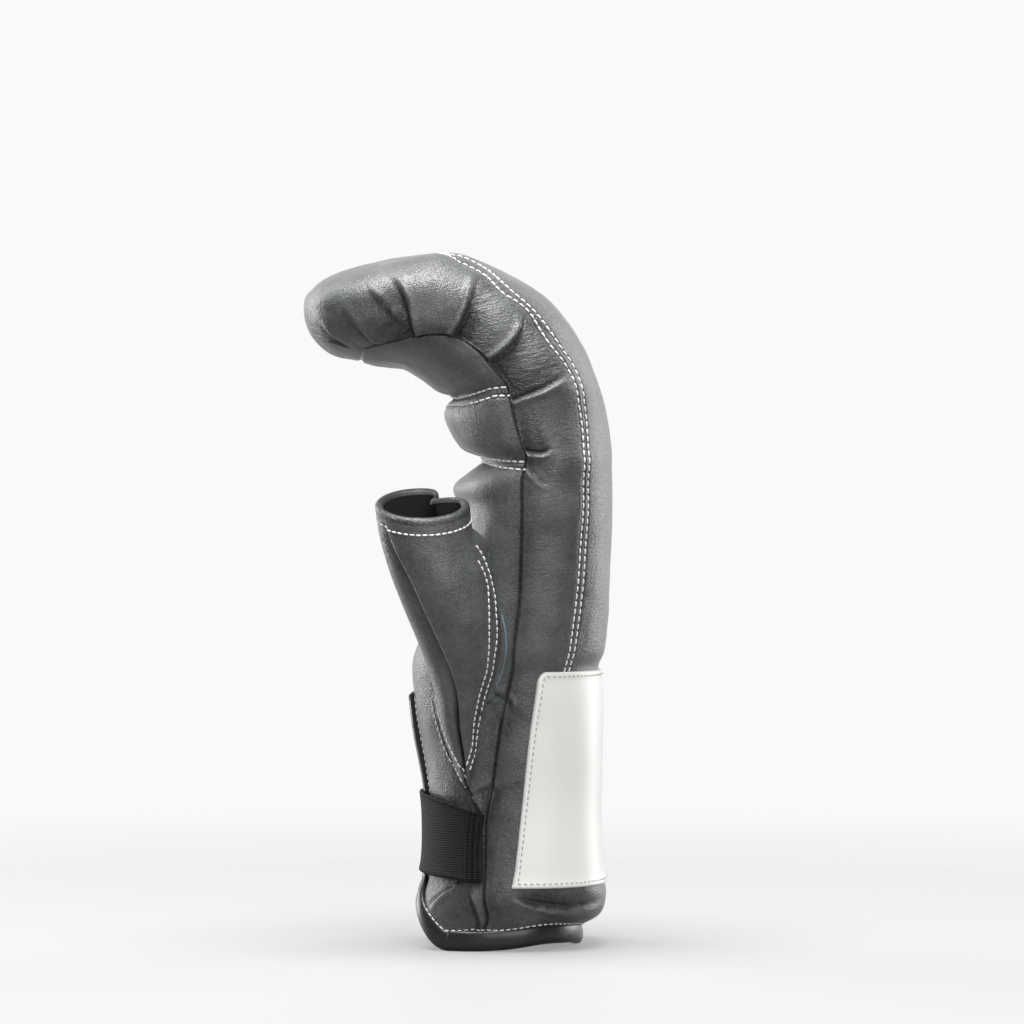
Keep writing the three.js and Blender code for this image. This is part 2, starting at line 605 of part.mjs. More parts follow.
// Materials
const finish = (color, roughness) => new THREE.MeshStandardMaterial({ color, roughness, metalness: 0 });
const greyLeather = finish(0x4d4e4e, 0.42);
const darkLeather = finish(0x26272a, 0.38);
const whiteLeather = finish(0xd9d9d6, 0.35);
const blackElastic = finish(0x18181a, 0.85);

const glove = new THREE.Group();
const PIECES = [
  ["back_pad", backPad, greyLeather],
  ["side_leather", sideLeather, greyLeather],
  ["palm_panel", palmPanel, greyLeather],
  ["thumb_front_panel", thumbFront, greyLeather],
  ["thumb_inner_panel", thumbInside, greyLeather],
  ["wrist_patch", patch, whiteLeather],
  ["wrist_elastic", elastic, blackElastic],
  ["hem_edging", hemEdging, darkLeather],
  ["slit_edging", slitEdging, darkLeather],
];
for (const [name, solid, material] of PIECES) {
  const mesh = new THREE.Mesh(geometryOf(solid), material);
  mesh.name = name;
  glove.add(mesh);
}

// The origin is under the middle of the glove's box, on the floor.
const box = new THREE.Box3().setFromObject(glove);
const middle = box.getCenter(new THREE.Vector3());
glove.position.set(-middle.x, -middle.y, -box.min.z);

export default glove;
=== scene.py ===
# A bag glove for the right hand: a padded leather mitt curled over the fingers, standing on its bound cuff.
# Metres, in the frame's own axes: +Z up, the back of the hand to +X, the thumb to -Y.
import math

import bpy
import numpy as np
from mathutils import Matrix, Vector, noise
from mathutils.bvhtree import BVHTree


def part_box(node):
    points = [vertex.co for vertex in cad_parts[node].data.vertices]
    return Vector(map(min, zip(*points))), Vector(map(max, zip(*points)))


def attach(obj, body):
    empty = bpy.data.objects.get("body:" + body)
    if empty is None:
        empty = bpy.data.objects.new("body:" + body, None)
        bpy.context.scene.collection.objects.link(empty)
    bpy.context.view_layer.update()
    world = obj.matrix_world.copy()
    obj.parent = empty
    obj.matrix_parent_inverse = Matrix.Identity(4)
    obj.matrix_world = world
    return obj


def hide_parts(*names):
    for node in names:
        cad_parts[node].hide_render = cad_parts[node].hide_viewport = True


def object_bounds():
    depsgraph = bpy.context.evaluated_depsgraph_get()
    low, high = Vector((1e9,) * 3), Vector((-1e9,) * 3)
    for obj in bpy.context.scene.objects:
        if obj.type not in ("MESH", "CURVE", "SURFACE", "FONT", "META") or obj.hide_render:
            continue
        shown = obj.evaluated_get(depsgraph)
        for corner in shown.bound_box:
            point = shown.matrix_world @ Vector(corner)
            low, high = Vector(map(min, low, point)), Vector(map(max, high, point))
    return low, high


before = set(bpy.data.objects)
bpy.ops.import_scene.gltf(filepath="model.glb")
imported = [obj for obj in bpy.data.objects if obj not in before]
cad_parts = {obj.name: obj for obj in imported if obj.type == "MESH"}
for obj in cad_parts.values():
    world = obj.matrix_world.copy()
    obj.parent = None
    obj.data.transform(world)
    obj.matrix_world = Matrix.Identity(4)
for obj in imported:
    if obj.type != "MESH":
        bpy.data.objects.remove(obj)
cad_low, cad_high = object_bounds()
MM = 0.001


# The camera looks level along +Y at the thumb's side of the glove, through a long lens.
# Seams and creases further down are drawn in the pixels of its picture, which is PICTURE wide and high.
PICTURE = 1024
PIXEL = 0.3913 * MM  # size of a pixel in the glove's middle plane
ORIGIN_COLUMN = 458  # pixel column of x = 0
FLOOR_ROW = 943  # pixel row of z = 0 in the middle plane
CAMERA_DISTANCE = 2.0
SENSOR = 36.0
back_low, back_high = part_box("back_pad")
MIDDLE_Y = (back_low.y + back_high.y) / 2
eye_x, eye_z = (PICTURE / 2 - ORIGIN_COLUMN) * PIXEL, (FLOOR_ROW - PICTURE / 2) * PIXEL
eye = np.array((eye_x, MIDDLE_Y - CAMERA_DISTANCE, eye_z))
lens = bpy.data.cameras.new("camera")
lens.sensor_width = SENSOR
lens.lens = SENSOR * CAMERA_DISTANCE / (PICTURE * PIXEL)
camera = bpy.data.objects.new("camera", lens)
camera.location = eye
camera.rotation_euler = (math.radians(90), 0, 0)
bpy.context.collection.objects.link(camera)
bpy.context.scene.camera = camera


def in_picture(points):
    """The pixels at which the camera sees the points. Points beyond the middle plane are mirrored in it."""
    near_y = MIDDLE_Y - np.abs(points[..., 1] - MIDDLE_Y)
    zoom = CAMERA_DISTANCE / (near_y - eye[1]) / PIXEL
    column = PICTURE / 2 + (points[..., 0] - eye[0]) * zoom
    row = PICTURE / 2 - (points[..., 2] - eye[2]) * zoom
    return np.stack((column, row), axis=-1)


def cast(pixels, tree):
    """Where the rays through the pixels meet a surface."""
    found = []
    for column, row in pixels:
        aim = ((column - PICTURE / 2) * PIXEL, CAMERA_DISTANCE, (PICTURE / 2 - row) * PIXEL)
        hit = tree.ray_cast(Vector(eye), Vector(aim))[0]
        if hit is not None:
            found.append(hit)
    return np.array(found)


# The mitt's form. Its leather is cut and sewn to curl over the fist, padded thick over the knuckles.
# Each row is a cross-section from the cuff to the fingertips: the back's and the palm's x as shares of the
# depth and z of the rise, the width, the palm seam's way from palm to back, and the walls' thickness.
DEPTH = cad_high.x - cad_low.x
HAND_WIDTH = 108 * MM
RISE = 262.65 * MM
CUFF_Z = back_low.z
BACK_PAD = 20 * MM
PALM_PAD = 8 * MM
SIDE_WALL = 6.5 * MM
ROUNDNESS = 2.5
SECTIONS = np.array(
    [
        [0.9, 0.0, 0.335, 0.0, 0.76, 0.44, 0.2, 0.4, 0.5],
        [0.964, 0.018, 0.34, 0.018, 0.8, 0.41, 0.22, 0.4, 0.5],
        [0.982, 0.05, 0.36, 0.05, 0.85, 0.36, 0.25, 0.4, 0.5],
        [0.965, 0.0875, 0.406, 0.0875, 0.84, 0.32, 0.25, 0.4, 0.5],
        [0.957, 0.159, 0.413, 0.159, 0.83, 0.32, 0.25, 0.4, 0.5],
        [0.958, 0.218, 0.4, 0.218, 0.83, 0.38, 0.25, 0.4, 0.5],
        [0.961, 0.292, 0.37, 0.292, 0.85, 0.45, 0.3, 0.4, 0.6],
        [0.96, 0.344, 0.357, 0.344, 0.87, 0.5, 0.45, 0.45, 0.7],
        [0.955, 0.384, 0.351, 0.384, 0.88, 0.54, 0.6, 0.5, 0.8],
        [0.977, 0.414, 0.367, 0.414, 0.92, 0.515, 0.85, 0.55, 0.9],
        [0.987, 0.485, 0.429, 0.485, 0.95, 0.485, 1.0, 0.6, 1.0],
        [0.994, 0.559, 0.487, 0.559, 0.98, 0.43, 1.0, 0.6, 1.0],
        [1.0, 0.619, 0.503, 0.619, 1.0, 0.41, 1.0, 0.6, 1.0],
        [1.0, 0.656, 0.49, 0.653, 1.0, 0.425, 1.0, 0.6, 1.0],
        [0.997, 0.688, 0.574, 0.691, 1.0, 0.34, 1.0, 0.4, 1.0],
        [0.994, 0.715, 0.5, 0.714, 1.0, 0.41, 1.0, 0.8, 1.0],
        [0.984, 0.748, 0.446, 0.751, 1.0, 0.44, 1.0, 1.0, 1.0],
        [0.974, 0.773, 0.45, 0.774, 1.0, 0.42, 1.0, 0.9, 1.0],
        [0.958, 0.801, 0.484, 0.791, 1.0, 0.37, 1.0, 0.4, 1.0],
        [0.916, 0.849, 0.427, 0.802, 0.99, 0.39, 1.0, 0.55, 1.0],
        [0.851, 0.896, 0.372, 0.816, 0.98, 0.4, 1.0, 0.6, 1.0],
        [0.76, 0.938, 0.321, 0.829, 0.97, 0.36, 1.0, 0.6, 1.0],
        [0.636, 0.973, 0.273, 0.832, 0.96, 0.24, 0.95, 0.6, 1.0],
        [0.49, 0.998, 0.231, 0.834, 0.94, 0.14, 0.9, 0.5, 1.0],
        [0.344, 0.994, 0.195, 0.837, 0.91, 0.08, 0.85, 0.4, 1.0],
        [0.188, 0.978, 0.149, 0.843, 0.86, 0.08, 0.8, 0.4, 1.0],
        [0.078, 0.96, 0.091, 0.85, 0.77, 0.12, 0.75, 0.4, 1.0],
        [0.029, 0.943, 0.045, 0.866, 0.62, 0.12, 0.7, 0.4, 1.0],
        [0.006, 0.93, 0.018, 0.883, 0.42, 0.12, 0.6, 0.4, 1.0],
        [0.0, 0.906, 0.0, 0.906, 0.0, 0.12, 0.5, 0.4, 1.0],
    ]
)
TIP = len(SECTIONS) - 1
STRAIGHT_END = 13  # the sections' heights rise in order up to this one
LIFT_END = 6  # the cuff's corners lift the sections below this one
PAD_ROUND, PAD_END, PAD_EDGE = 19.9, 21.65, 0.85  # sections of the back pad's round end, and its edge's way
POCKET_END, POCKET_SLOWDOWN = 24, 0.4  # from here the lining draws in to a pocket and runs slower
PALM_END = 24.3  # where the palm panel is sewn to the leather from the fingertips
SLANT_STATIONS = (13, 14.7, 17.6, 19.5, 21.1, 22.1, 23.5, 24.7, TIP)
SLANTS = (0, 0.3, 0.9, 1.1, 1.3, 2.0, 2.1, 2.1, 0)
HEM_LIFT = 26 * MM
LIFT_REACH = math.radians(62)
SLIT_TOP = 98 * MM
SLIT_WIDTH, SLIT_TOP_WIDTH = 22 * MM, 17 * MM


def table_at(rows, station):
    """A smooth curve through the rows of a table."""
    last = len(rows) - 1
    s = np.clip(station, 0, last)
    i = np.minimum(s.astype(int), last - 1)
    f = (s - i)[..., None]
    a, b, d, e = (rows[np.clip(i + k, 0, last)] for k in (-1, 0, 1, 2))
    return b + 0.5 * f * (d - a + f * (2 * a - 5 * b + 4 * d - e + f * (3 * (b - d) + e - a)))


def signed_power(x, power):
    return np.sign(x) * np.abs(x) ** power


def section_point(station, angle, back=0.0, palm=0.0, side=0.0):
    """A point of a cross-section. The angle runs from the palm (0) over the far side to the back (pi)."""
    row = np.moveaxis(table_at(SECTIONS, station), -1, 0)
    back_x, back_z, palm_x, palm_z, width = row[:5]
    along_x, along_z = (back_x - palm_x) * DEPTH, (back_z - palm_z) * RISE
    length = np.maximum(np.hypot(along_x, along_z), 1e-9)
    half = np.maximum(0, length - back - palm) / 2
    reach = (palm + half * (1 - signed_power(np.cos(angle), 2 / ROUNDNESS))) / length
    across = np.maximum(0, width * HAND_WIDTH / 2 - side)
    return np.stack(
        (
            cad_low.x + palm_x * DEPTH + along_x * reach,
            MIDDLE_Y + across * signed_power(np.sin(angle), 2 / ROUNDNESS),
            CUFF_Z + palm_z * RISE + along_z * reach,
        ),
        axis=-1,
    )


straight = np.linspace(0, STRAIGHT_END, 1301)
straight_z = CUFF_Z + table_at(SECTIONS, straight)[:, 3] * RISE


def station_at_height(z):
    return np.interp(z, straight_z, straight)


def angle_at_way(way):
    return np.arccos(-signed_power(2 * way - 1, ROUNDNESS / 2))


def seam_angle(station):
    return angle_at_way(table_at(SECTIONS, station)[..., 5])


def pad_angle(station):
    edge = angle_at_way(PAD_EDGE)
    run = np.clip((station - PAD_ROUND) / (PAD_END - PAD_ROUND), 0, 1)
    return math.pi - (math.pi - edge) * (1 - run**ROUNDNESS) ** (1 / ROUNDNESS)


SLIT_STATION = float(station_at_height(SLIT_TOP))


def slit_angle(station):
    run = np.clip(station / SLIT_STATION, 0, 1) ** 2
    half_slit = (SLIT_WIDTH + (SLIT_TOP_WIDTH - SLIT_WIDTH) * run) / 2
    half_hand = np.maximum(table_at(SECTIONS, station)[..., 4] * HAND_WIDTH / 2, 1e-6)
    return np.arcsin(np.clip(half_slit / half_hand, 0, 1) ** (ROUNDNESS / 2))


def laid_station(station, angle):
    """The section on which the leather lies: gathers slant to the tip, and the cuff's corners lift."""
    turn = np.minimum(angle, 2 * math.pi - angle)
    seam = seam_angle(station)
    slant = np.interp(station, SLANT_STATIONS, SLANTS) * (turn - seam) / (math.pi - seam)
    z = CUFF_Z + table_at(SECTIONS, station)[..., 3] * RISE
    end_z = CUFF_Z + SECTIONS[LIFT_END][3] * RISE
    lift = HEM_LIFT * np.maximum(0, 1 - turn / LIFT_REACH) ** 1.25
    lifted = station_at_height(z + lift * np.clip((end_z - z) / (end_z - CUFF_Z), 0, 1) ** 2)
    return np.where(turn > seam, station + slant, np.where(station < LIFT_END, lifted, station))


def outside(station, angle, out=0.0):
    return section_point(laid_station(station, angle), angle, -out, -out, -out)


def inside(station, angle):
    """The lining. It ends in a pocket for the fingertips."""
    s = laid_station(station, angle)
    past = np.clip((s - POCKET_END) / (TIP - POCKET_END), 0, 1)
    s = s - (1 - POCKET_SLOWDOWN) * np.maximum(0, s - POCKET_END)
    row = table_at(SECTIONS, s)
    walls = (row[..., 6] * BACK_PAD, row[..., 7] * PALM_PAD, row[..., 8] * SIDE_WALL)
    middle = section_point(s, np.zeros_like(s), *walls) + section_point(s, s * 0 + math.pi, *walls)
    point = section_point(s, angle, *walls)
    return middle / 2 + (point - middle / 2) * np.sqrt(1 - past**2)[..., None]


def run_along(path):
    """Length from the start of a path to each of its points."""
    return np.concatenate(([0], np.cumsum(np.linalg.norm(np.diff(path, axis=0), axis=1))))


def stations_between(first, last, spacing):
    """Stations a given length apart along the middle of the glove's side."""
    fine = np.linspace(first, last, 400)
    run = run_along(section_point(fine, fine * 0 + math.pi / 2))
    return np.interp(np.linspace(0, run[-1], max(2, round(run[-1] / spacing) + 1)), run, fine)


CURL_START = 12.5  # section from which the grid is finer
DENSER = 0.6  # how much closer the columns lie beside the seams
PAD_TIP_TURN = 0.02  # half the turn that the back's columns keep past the end of the pad


def mitt_grid(spacing, curl_spacing, counts):
    """Stations and angles of a grid over the whole mitt, and the zone of each column of its faces."""
    stops = (0, SLIT_STATION, CURL_START, PAD_END, PALM_END, TIP)
    steps = (spacing, spacing, curl_spacing, curl_spacing, curl_spacing)
    runs = [stations_between(a, b, d)[:-1] for a, b, d in zip(stops, stops[1:], steps)]
    station = np.concatenate(runs + [[TIP]])
    edges = (
        station * 0,
        slit_angle(station),
        seam_angle(station),
        np.minimum(pad_angle(station), math.pi - PAD_TIP_TURN),
        station * 0 + math.pi,
    )
    columns, zones = [], []
    for zone, low, high, count in zip(("slit", "palm", "side", "back"), edges, edges[1:], counts):
        even = np.arange(count) / count
        dense = even - DENSER * np.sin(2 * math.pi * even) / (2 * math.pi)
        columns += [low + (high - low) * share for share in dense]
        zones += [zone] * count
    far = np.stack(columns + [edges[-1]], axis=1)
    near = 2 * math.pi - far[:, -2:0:-1]
    return station, np.hstack((far, near)), np.array(zones + zones[::-1])


def quads_of(rows, columns, closed):
    """Faces of a grid of vertices, which may be closed into a tube."""
    index = np.arange(rows * columns).reshape(rows, columns)
    if closed:
        index = np.hstack((index, index[:, :1]))
    return np.stack((index[:-1, :-1], index[1:, :-1], index[1:, 1:], index[:-1, 1:]), axis=-1)


def normals_of(grid, closed):
    """Unit normals of a grid of points."""
    along = np.gradient(grid, axis=0)
    wide = np.concatenate((grid[:, -1:], grid, grid[:, :1]), axis=1) if closed else grid
    across = np.gradient(wide, axis=1)
    if closed:
        across = across[:, 1:-1]
    normal = np.cross(along, across)
    size = np.linalg.norm(normal, axis=-1, keepdims=True)
    return np.where(size > 1e-14, normal / np.maximum(size, 1e-14), (-1.0, 0.0, 0.0))


# Creases and pleats of the side leather, which is gathered round the knuckles and taken into the seams.
# Each is drawn from the palm seam outwards in the picture's pixels, with its depth and the side of its ridge.
PLEATS = (
    (3.0, 1, ((413, 340), (409, 324), (406, 307), (401, 293), (395, 284), (386, 278))),
    (3.2, -1, ((454, 337), (462, 324), (469, 308), (473, 294), (476, 281), (479, 270))),
    (3.2, -1, ((489, 363), (500, 356), (511, 347), (519, 337), (524, 326), (522, 312))),
    (2.8, 1, ((512, 399), (527, 394), (543, 388), (556, 381), (564, 376), (572, 370))),
    (2.4, 1, ((523, 451), (532, 452), (543, 452), (552, 448))),
    (1.0, 1, ((527, 464), (533, 473), (542, 482), (552, 488))),
    (1.2, 1, ((380, 350), (372, 345), (362, 335), (350, 321), (340, 311))),
    (1.1, 1, ((358, 355), (345, 348), (330, 338), (316, 319))),
    (1.6, 1, ((388, 312), (378, 301), (366, 292))),
    (1.9, 1, ((550, 911), (562, 912), (577, 910), (592, 905), (603, 899))),
    (1.9, -1, ((550, 911), (537, 908), (524, 902), (512, 896))),
    (1.3, 1, ((509, 704), (501, 697), (491, 694))),
    (1.5, 1, ((491, 789), (481, 791), (470, 797))),
    (1.7, 1, ((470, 796), (460, 776), (450, 753), (442, 730), (437, 704))),
    (2.2, 1, ((478, 928), (474, 914), (468, 898), (466, 884))),
    (1.8, -1, ((452, 884), (441, 890), (432, 899), (424, 910))),
)
VALLEY_WIDTH = 0.6 * MM
RIDGE_WIDTH = 1.3 * MM
RIDGE_OFFSET = 1.6 * MM
STEEP_WIDTH = 1.8 * MM
HOLLOW_WIDTH = 8.5 * MM
RIDGE_SHARE, VALLEY_SHARE, HOLLOW_SHARE = 0.72, 0.5, 0.7  # of a crease's depth
SEAM_HOLD = 1.5 * MM  # the seam holds the creases down over this length
FAR_SHIFT, FAR_REACH = 4.0, 25 * MM  # pixels by which the far side's creases stray, reached past the middle


def nearest_on(points, path):
    """Distance from flat points to a path, with the side they lie on, and how far along it they are."""
    best = np.full(points.shape[:-1], np.inf)
    side, share = np.zeros_like(best), np.zeros_like(best)
    path = np.asarray(path, dtype=float)
    run = run_along(path)
    for k, (a, b) in enumerate(zip(path, path[1:])):
        step = b - a
        offset = points - a
        f = np.clip(offset @ step / (step @ step), 0, 1)
        distance = np.linalg.norm(offset - f[..., None] * step, axis=-1)
        closer = distance < best
        best = np.where(closer, distance, best)
        share = np.where(closer, (run[k] + f * (run[k + 1] - run[k])) / run[-1], share)
        if points.shape[-1] == 2:
            turn = step[0] * offset[..., 1] - step[1] * offset[..., 0]
            side = np.where(closer, np.sign(turn), side)
    return best, side, share


def gaussian(distance, width):
    return np.exp(-((distance / width) ** 2))


def smooth(x):
    x = np.clip(x, 0, 1)
    return x * x * (3 - 2 * x)


def ramp(value, start, end):
    """A smooth rise from 0 at the start to 1 at the end."""
    return smooth((value - start) / (end - start))


def roughness_of_form(points, scale, height, seed):
    """Soft unevenness of stuffed leather, as heights over the points."""
    flat = points.reshape(-1, 3) / scale + seed
    heights = [noise.noise(p) for p in flat.tolist()]
    return height * np.array(heights).reshape(points.shape[:-1])


def pleat_heights(points, from_seam):
    """Heights of the pleats over the side leather, in the picture's pixels."""
    pixels = in_picture(points)
    stray = smooth((points[..., 1:2] - MIDDLE_Y) / FAR_REACH) * FAR_SHIFT
    pixels = pixels + stray * np.sin(points[..., (2, 0)] / (19 * MM) + (1.0, 2.5))
    heights = np.zeros(points.shape[:-1])
    for depth, ridge_side, path in PLEATS:
        distance, side, share = nearest_on(pixels, path)
        signed = distance * side * ridge_side * PIXEL
        fade = depth * MM * smooth(2.2 * (1 - share) + 0.08)
        heights += fade * (
            RIDGE_SHARE * gaussian(signed - RIDGE_OFFSET, RIDGE_WIDTH)
            - VALLEY_SHARE * gaussian(signed, VALLEY_WIDTH)
            - HOLLOW_SHARE * gaussian(signed, np.where(signed > 0, STEEP_WIDTH, HOLLOW_WIDTH))
        )
    return heights * smooth(from_seam / SEAM_HOLD)


# The leather is drawn in along each seam and row of stitches, in a sharp line and a wider dip.
SEAM_DEPTH, SEAM_LINE, SEAM_DIP = 1.5 * MM, 0.5 * MM, 4.5 * MM
END_SEAM_LINE, END_SEAM_DIP = 1.0 * MM, 5 * MM  # of the seam under the fingertips
CHANNEL_DEPTH, CHANNEL_LINE, CHANNEL_DIP = 0.45 * MM, 0.9 * MM, 3.5 * MM
PAD_ROW_DEPTH, PAD_ROW_LINE = 0.5 * MM, 0.9 * MM
PAD_SWELL, PAD_SWELL_REACH = 0.4 * MM, 7 * MM  # the leather swells between the pad's rows and the seams
UPPER_CHANNEL = 18.0
CHANNEL_SAG = 2.6 * MM  # how much lower the upper channel runs in the palm's middle
ROLL_STATION, ROLL_FLATTER = 16.2, 1.9 * MM  # the roll between the channels is pressed a little flat
# The two rows of each channel in the picture's pixels, from the palm's edge of the picture to the palm seam.
CHANNEL_ROWS = (
    ((450, 395), (458, 399), (472, 395), (489, 389), (507, 387)),
    ((451.5, 405), (464, 405), (477, 402), (495, 396), (512, 395.5)),
    ((482, 457), (494, 459.5), (503.5, 461), (513, 461.5), (525, 462)),
    ((482, 461), (491, 465), (501, 467.5), (513, 469), (526, 470)),
)
# The padded back is lapped over the side leather and sewn down in two rows, drawn in the picture's pixels
# from the top of the fist down to the wrist.
INNER_ROW = (
    (446, 255), (458, 262), (466, 267), (481, 269), (489, 276), (496, 289), (500, 294), (519, 301),
    (528, 309), (536, 320), (542, 336), (550, 346), (558, 355), (566, 364), (573, 375), (578, 399),
    (583, 428), (584, 457), (582.5, 519), (581, 537), (578, 583), (573, 627), (568, 659), (563, 678),
)
OUTER_ROW = (
    (449, 254), (459, 256.5), (472, 260), (484, 267), (493.5, 274), (505, 287), (515, 295), (529, 305),
    (540, 317), (550, 332), (557, 342), (563.5, 352), (571, 361), (578, 372), (584, 399), (587, 423),
    (588.7, 457), (587.5, 519), (586, 537), (583, 583), (578, 627), (572.7, 658), (568, 678),
)
GRID_STEP, CURL_STEP, COLUMN_COUNTS = 1.05 * MM, 0.62 * MM, (8, 64, 64, 36)
station, angle, zones = mitt_grid(GRID_STEP, CURL_STEP, COLUMN_COUNTS)
row_station = station[:, None] + angle * 0
surface = outside(row_station, angle)
turn = np.minimum(angle, 2 * math.pi - angle)
to_middle = np.clip(1 - turn / seam_angle(row_station), 0, 1)
surface[..., 2] -= CHANNEL_SAG * to_middle * gaussian(row_station - UPPER_CHANNEL, 1.3)
surface[..., 0] += ROLL_FLATTER * smooth(to_middle * 3) * gaussian(row_station - ROLL_STATION, 1.1)
normals = normals_of(surface, closed=True)
ring = np.concatenate((surface, surface[:, :1]), axis=1)
round_run = np.cumsum(np.linalg.norm(np.diff(ring, axis=1), axis=2), axis=1)
ring_length = round_run[:, -1:]
round_run = np.hstack((round_run[:, :1] * 0, round_run[:, :-1]))
long_run = np.cumsum(np.linalg.norm(np.diff(surface, axis=0), axis=2), axis=0)
long_run = np.vstack((long_run[:1] * 0, long_run))
SEAM_COLUMN = COLUMN_COUNTS[0] + COLUMN_COUNTS[1]
PAD_COLUMN = SEAM_COLUMN + COLUMN_COUNTS[2]
column_count = angle.shape[1]
seam_columns = (SEAM_COLUMN, column_count - SEAM_COLUMN)
slit_columns = (COLUMN_COUNTS[0], column_count - COLUMN_COUNTS[0])


def from_columns(columns):
    """Length round the leather from the nearest of some columns."""
    return np.min([np.abs(round_run - round_run[:, c : c + 1]) for c in columns], axis=0)


from_seam = from_columns(seam_columns)
on_palm = turn <= seam_angle(row_station) + 1e-9
on_side = ~on_palm & (turn < pad_angle(row_station) + 1e-9)


HEM_WAVE = 3.0 * MM
HEM_WAVE_X, HEM_WAVE_WIDTH, HEM_WAVE_RISE, HEM_WAVE_SIDE = 36 * MM, 15 * MM, 30 * MM, 20 * MM


def cuff_wave(points):
    """How far the cuff has come up off the floor in a soft wave beside the back of the wrist."""
    near_side = smooth((MIDDLE_Y - points[..., 1]) / HEM_WAVE_SIDE)
    wave = HEM_WAVE * gaussian(points[..., 0] - HEM_WAVE_X, HEM_WAVE_WIDTH) * near_side
    return wave * smooth(1 - points[..., 2] / HEM_WAVE_RISE)


def from_station(stop):
    """Length along the leather from the row at a station."""
    at_stop = np.array([np.interp(stop, station, run) for run in long_run.T])
    return np.abs(long_run - at_stop)


def tree_of(points, quads):
    """A surface to cast rays at and lay points on."""
    return BVHTree.FromPolygons(points.reshape(-1, 3).tolist(), quads.reshape(-1, 4).tolist())


all_quads = quads_of(*angle.shape, closed=True)
form_tree = tree_of(surface, all_quads)


def at_lengths(at, run, values):
    """A path's points, or their normals, at lengths along it."""
    return np.stack([np.interp(at, run, column) for column in values.T], axis=1)


def filled_in(path, spacing):
    """The path with points a spacing apart."""
    path = np.asarray(path, dtype=float)
    run = run_along(path)
    return at_lengths(np.linspace(0, run[-1], max(2, int(run[-1] / spacing) + 1)), run, path)


def laid_on(points, tree):
    """The nearest places on a surface, with its normals."""
    found = [tree.find_nearest(p) for p in np.asarray(points).tolist()]
    return np.array([f[0] for f in found]), np.array([f[1] for f in found])


def eased(path, reach):
    """The path with its bends eased over a reach, given in points."""
    offsets = np.arange(-3 * reach, 3 * reach + 1)
    weights = gaussian(offsets, reach)
    padded = np.vstack((path[:1].repeat(3 * reach, axis=0), path, path[-1:].repeat(3 * reach, axis=0)))
    return np.stack([np.convolve(padded[:, k], weights / weights.sum(), "valid") for k in range(3)], axis=1)


def mirrored(path):
    return path * (1, -1, 1) + (0, 2 * MIDDLE_Y, 0)


def over_the_top(row, tree):
    """A row on both sides of the glove, joined over the top of the fist."""
    near = eased(cast(filled_in(row, 2), tree)[::-1], 8)
    far = mirrored(near[::-1])
    bend = np.linspace(0, 1, 60)[1:-1, None]
    lead = (near[-1] - near[-9]) * 1.5 * np.sin(math.pi * bend)
    crossing = near[-1] * (1 - bend) + far[0] * bend + lead * (1, 0, 0)
    return laid_on(np.vstack((near, crossing, far)), tree)


def across_palm(row, grid, tree):
    """A row on both sides of the glove, joined across the palm along the grid's own row."""
    near = cast(filled_in(row, 2), tree)[::-1]
    near = near[near[:, 1] < MIDDLE_Y]
    near = near[: near[:, 1].argmax() + 1]
    at_row = np.linalg.norm(grid - near[-1], axis=-1).argmin() // grid.shape[1]
    crossing = grid[at_row, np.arange(-SEAM_COLUMN, SEAM_COLUMN + 1)]
    reach = MIDDLE_Y - near[-1, 1] - MM
    crossing = crossing[np.abs(crossing[:, 1] - MIDDLE_Y) < reach]
    return laid_on(np.vstack((near, crossing, mirrored(near[::-1]))), tree)


EDGE_HOLD = 9 * MM  # the binding, the slit and the patch keep the leather even over this length
UNEVENNESS = ((26 * MM, 0.8 * MM, 3.1), (8 * MM, 0.2 * MM, 7.7))  # scale, height and seed
inner_row = over_the_top(INNER_ROW, form_tree)[0]
outer_row = over_the_top(OUTER_ROW, form_tree)[0]
from_pad = np.min([nearest_on(surface, row[::7])[0] for row in (inner_row, outer_row)], axis=0)
channel_paths = [across_palm(row, surface, form_tree)[0] for row in CHANNEL_ROWS]
from_channel = np.min([nearest_on(surface, path[::4])[0] for path in channel_paths], axis=0)

before_end = smooth((PALM_END - row_station) / 0.5 + 0.5)
seam_profile = 0.7 * gaussian(from_seam, SEAM_LINE) + 0.7 * gaussian(from_seam, SEAM_DIP)
heights = -SEAM_DEPTH * seam_profile * before_end
end_seam = from_station(PALM_END)
end_profile = 0.6 * gaussian(end_seam, END_SEAM_LINE) + 0.3 * gaussian(end_seam, END_SEAM_DIP)
heights -= SEAM_DEPTH * on_palm * end_profile
channel_profile = gaussian(from_channel, CHANNEL_LINE) + gaussian(from_channel, CHANNEL_DIP)
heights -= CHANNEL_DEPTH * on_palm * channel_profile
heights -= PAD_ROW_DEPTH * gaussian(from_pad, PAD_ROW_LINE)
heights += PAD_SWELL * (1 - gaussian(from_pad, PAD_SWELL_REACH)) * ramp(row_station, 7, 10)
creases = pleat_heights(surface, from_seam) * np.where(on_side, 1, ramp(row_station, 9.5, 8))
heights += creases
from_slit = np.where(row_station < SLIT_STATION + 0.5, from_columns(slit_columns), 1)
from_edge = np.minimum(long_run, from_slit)
under_patch = ramp(row_station, 7.5, 7) * ramp(turn, 1.6, 1.85)
calm = smooth(from_edge / EDGE_HOLD) * (1 - 0.75 * under_patch)
unevenness = sum(roughness_of_form(surface, *bumps) * calm for bumps in UNEVENNESS)
leather_surface = surface + normals * (heights + unevenness)[..., None]
leather_surface[..., 2] += cuff_wave(leather_surface)
leather_normals = normals_of(leather_surface, closed=True)
mitt_tree = tree_of(leather_surface, all_quads)


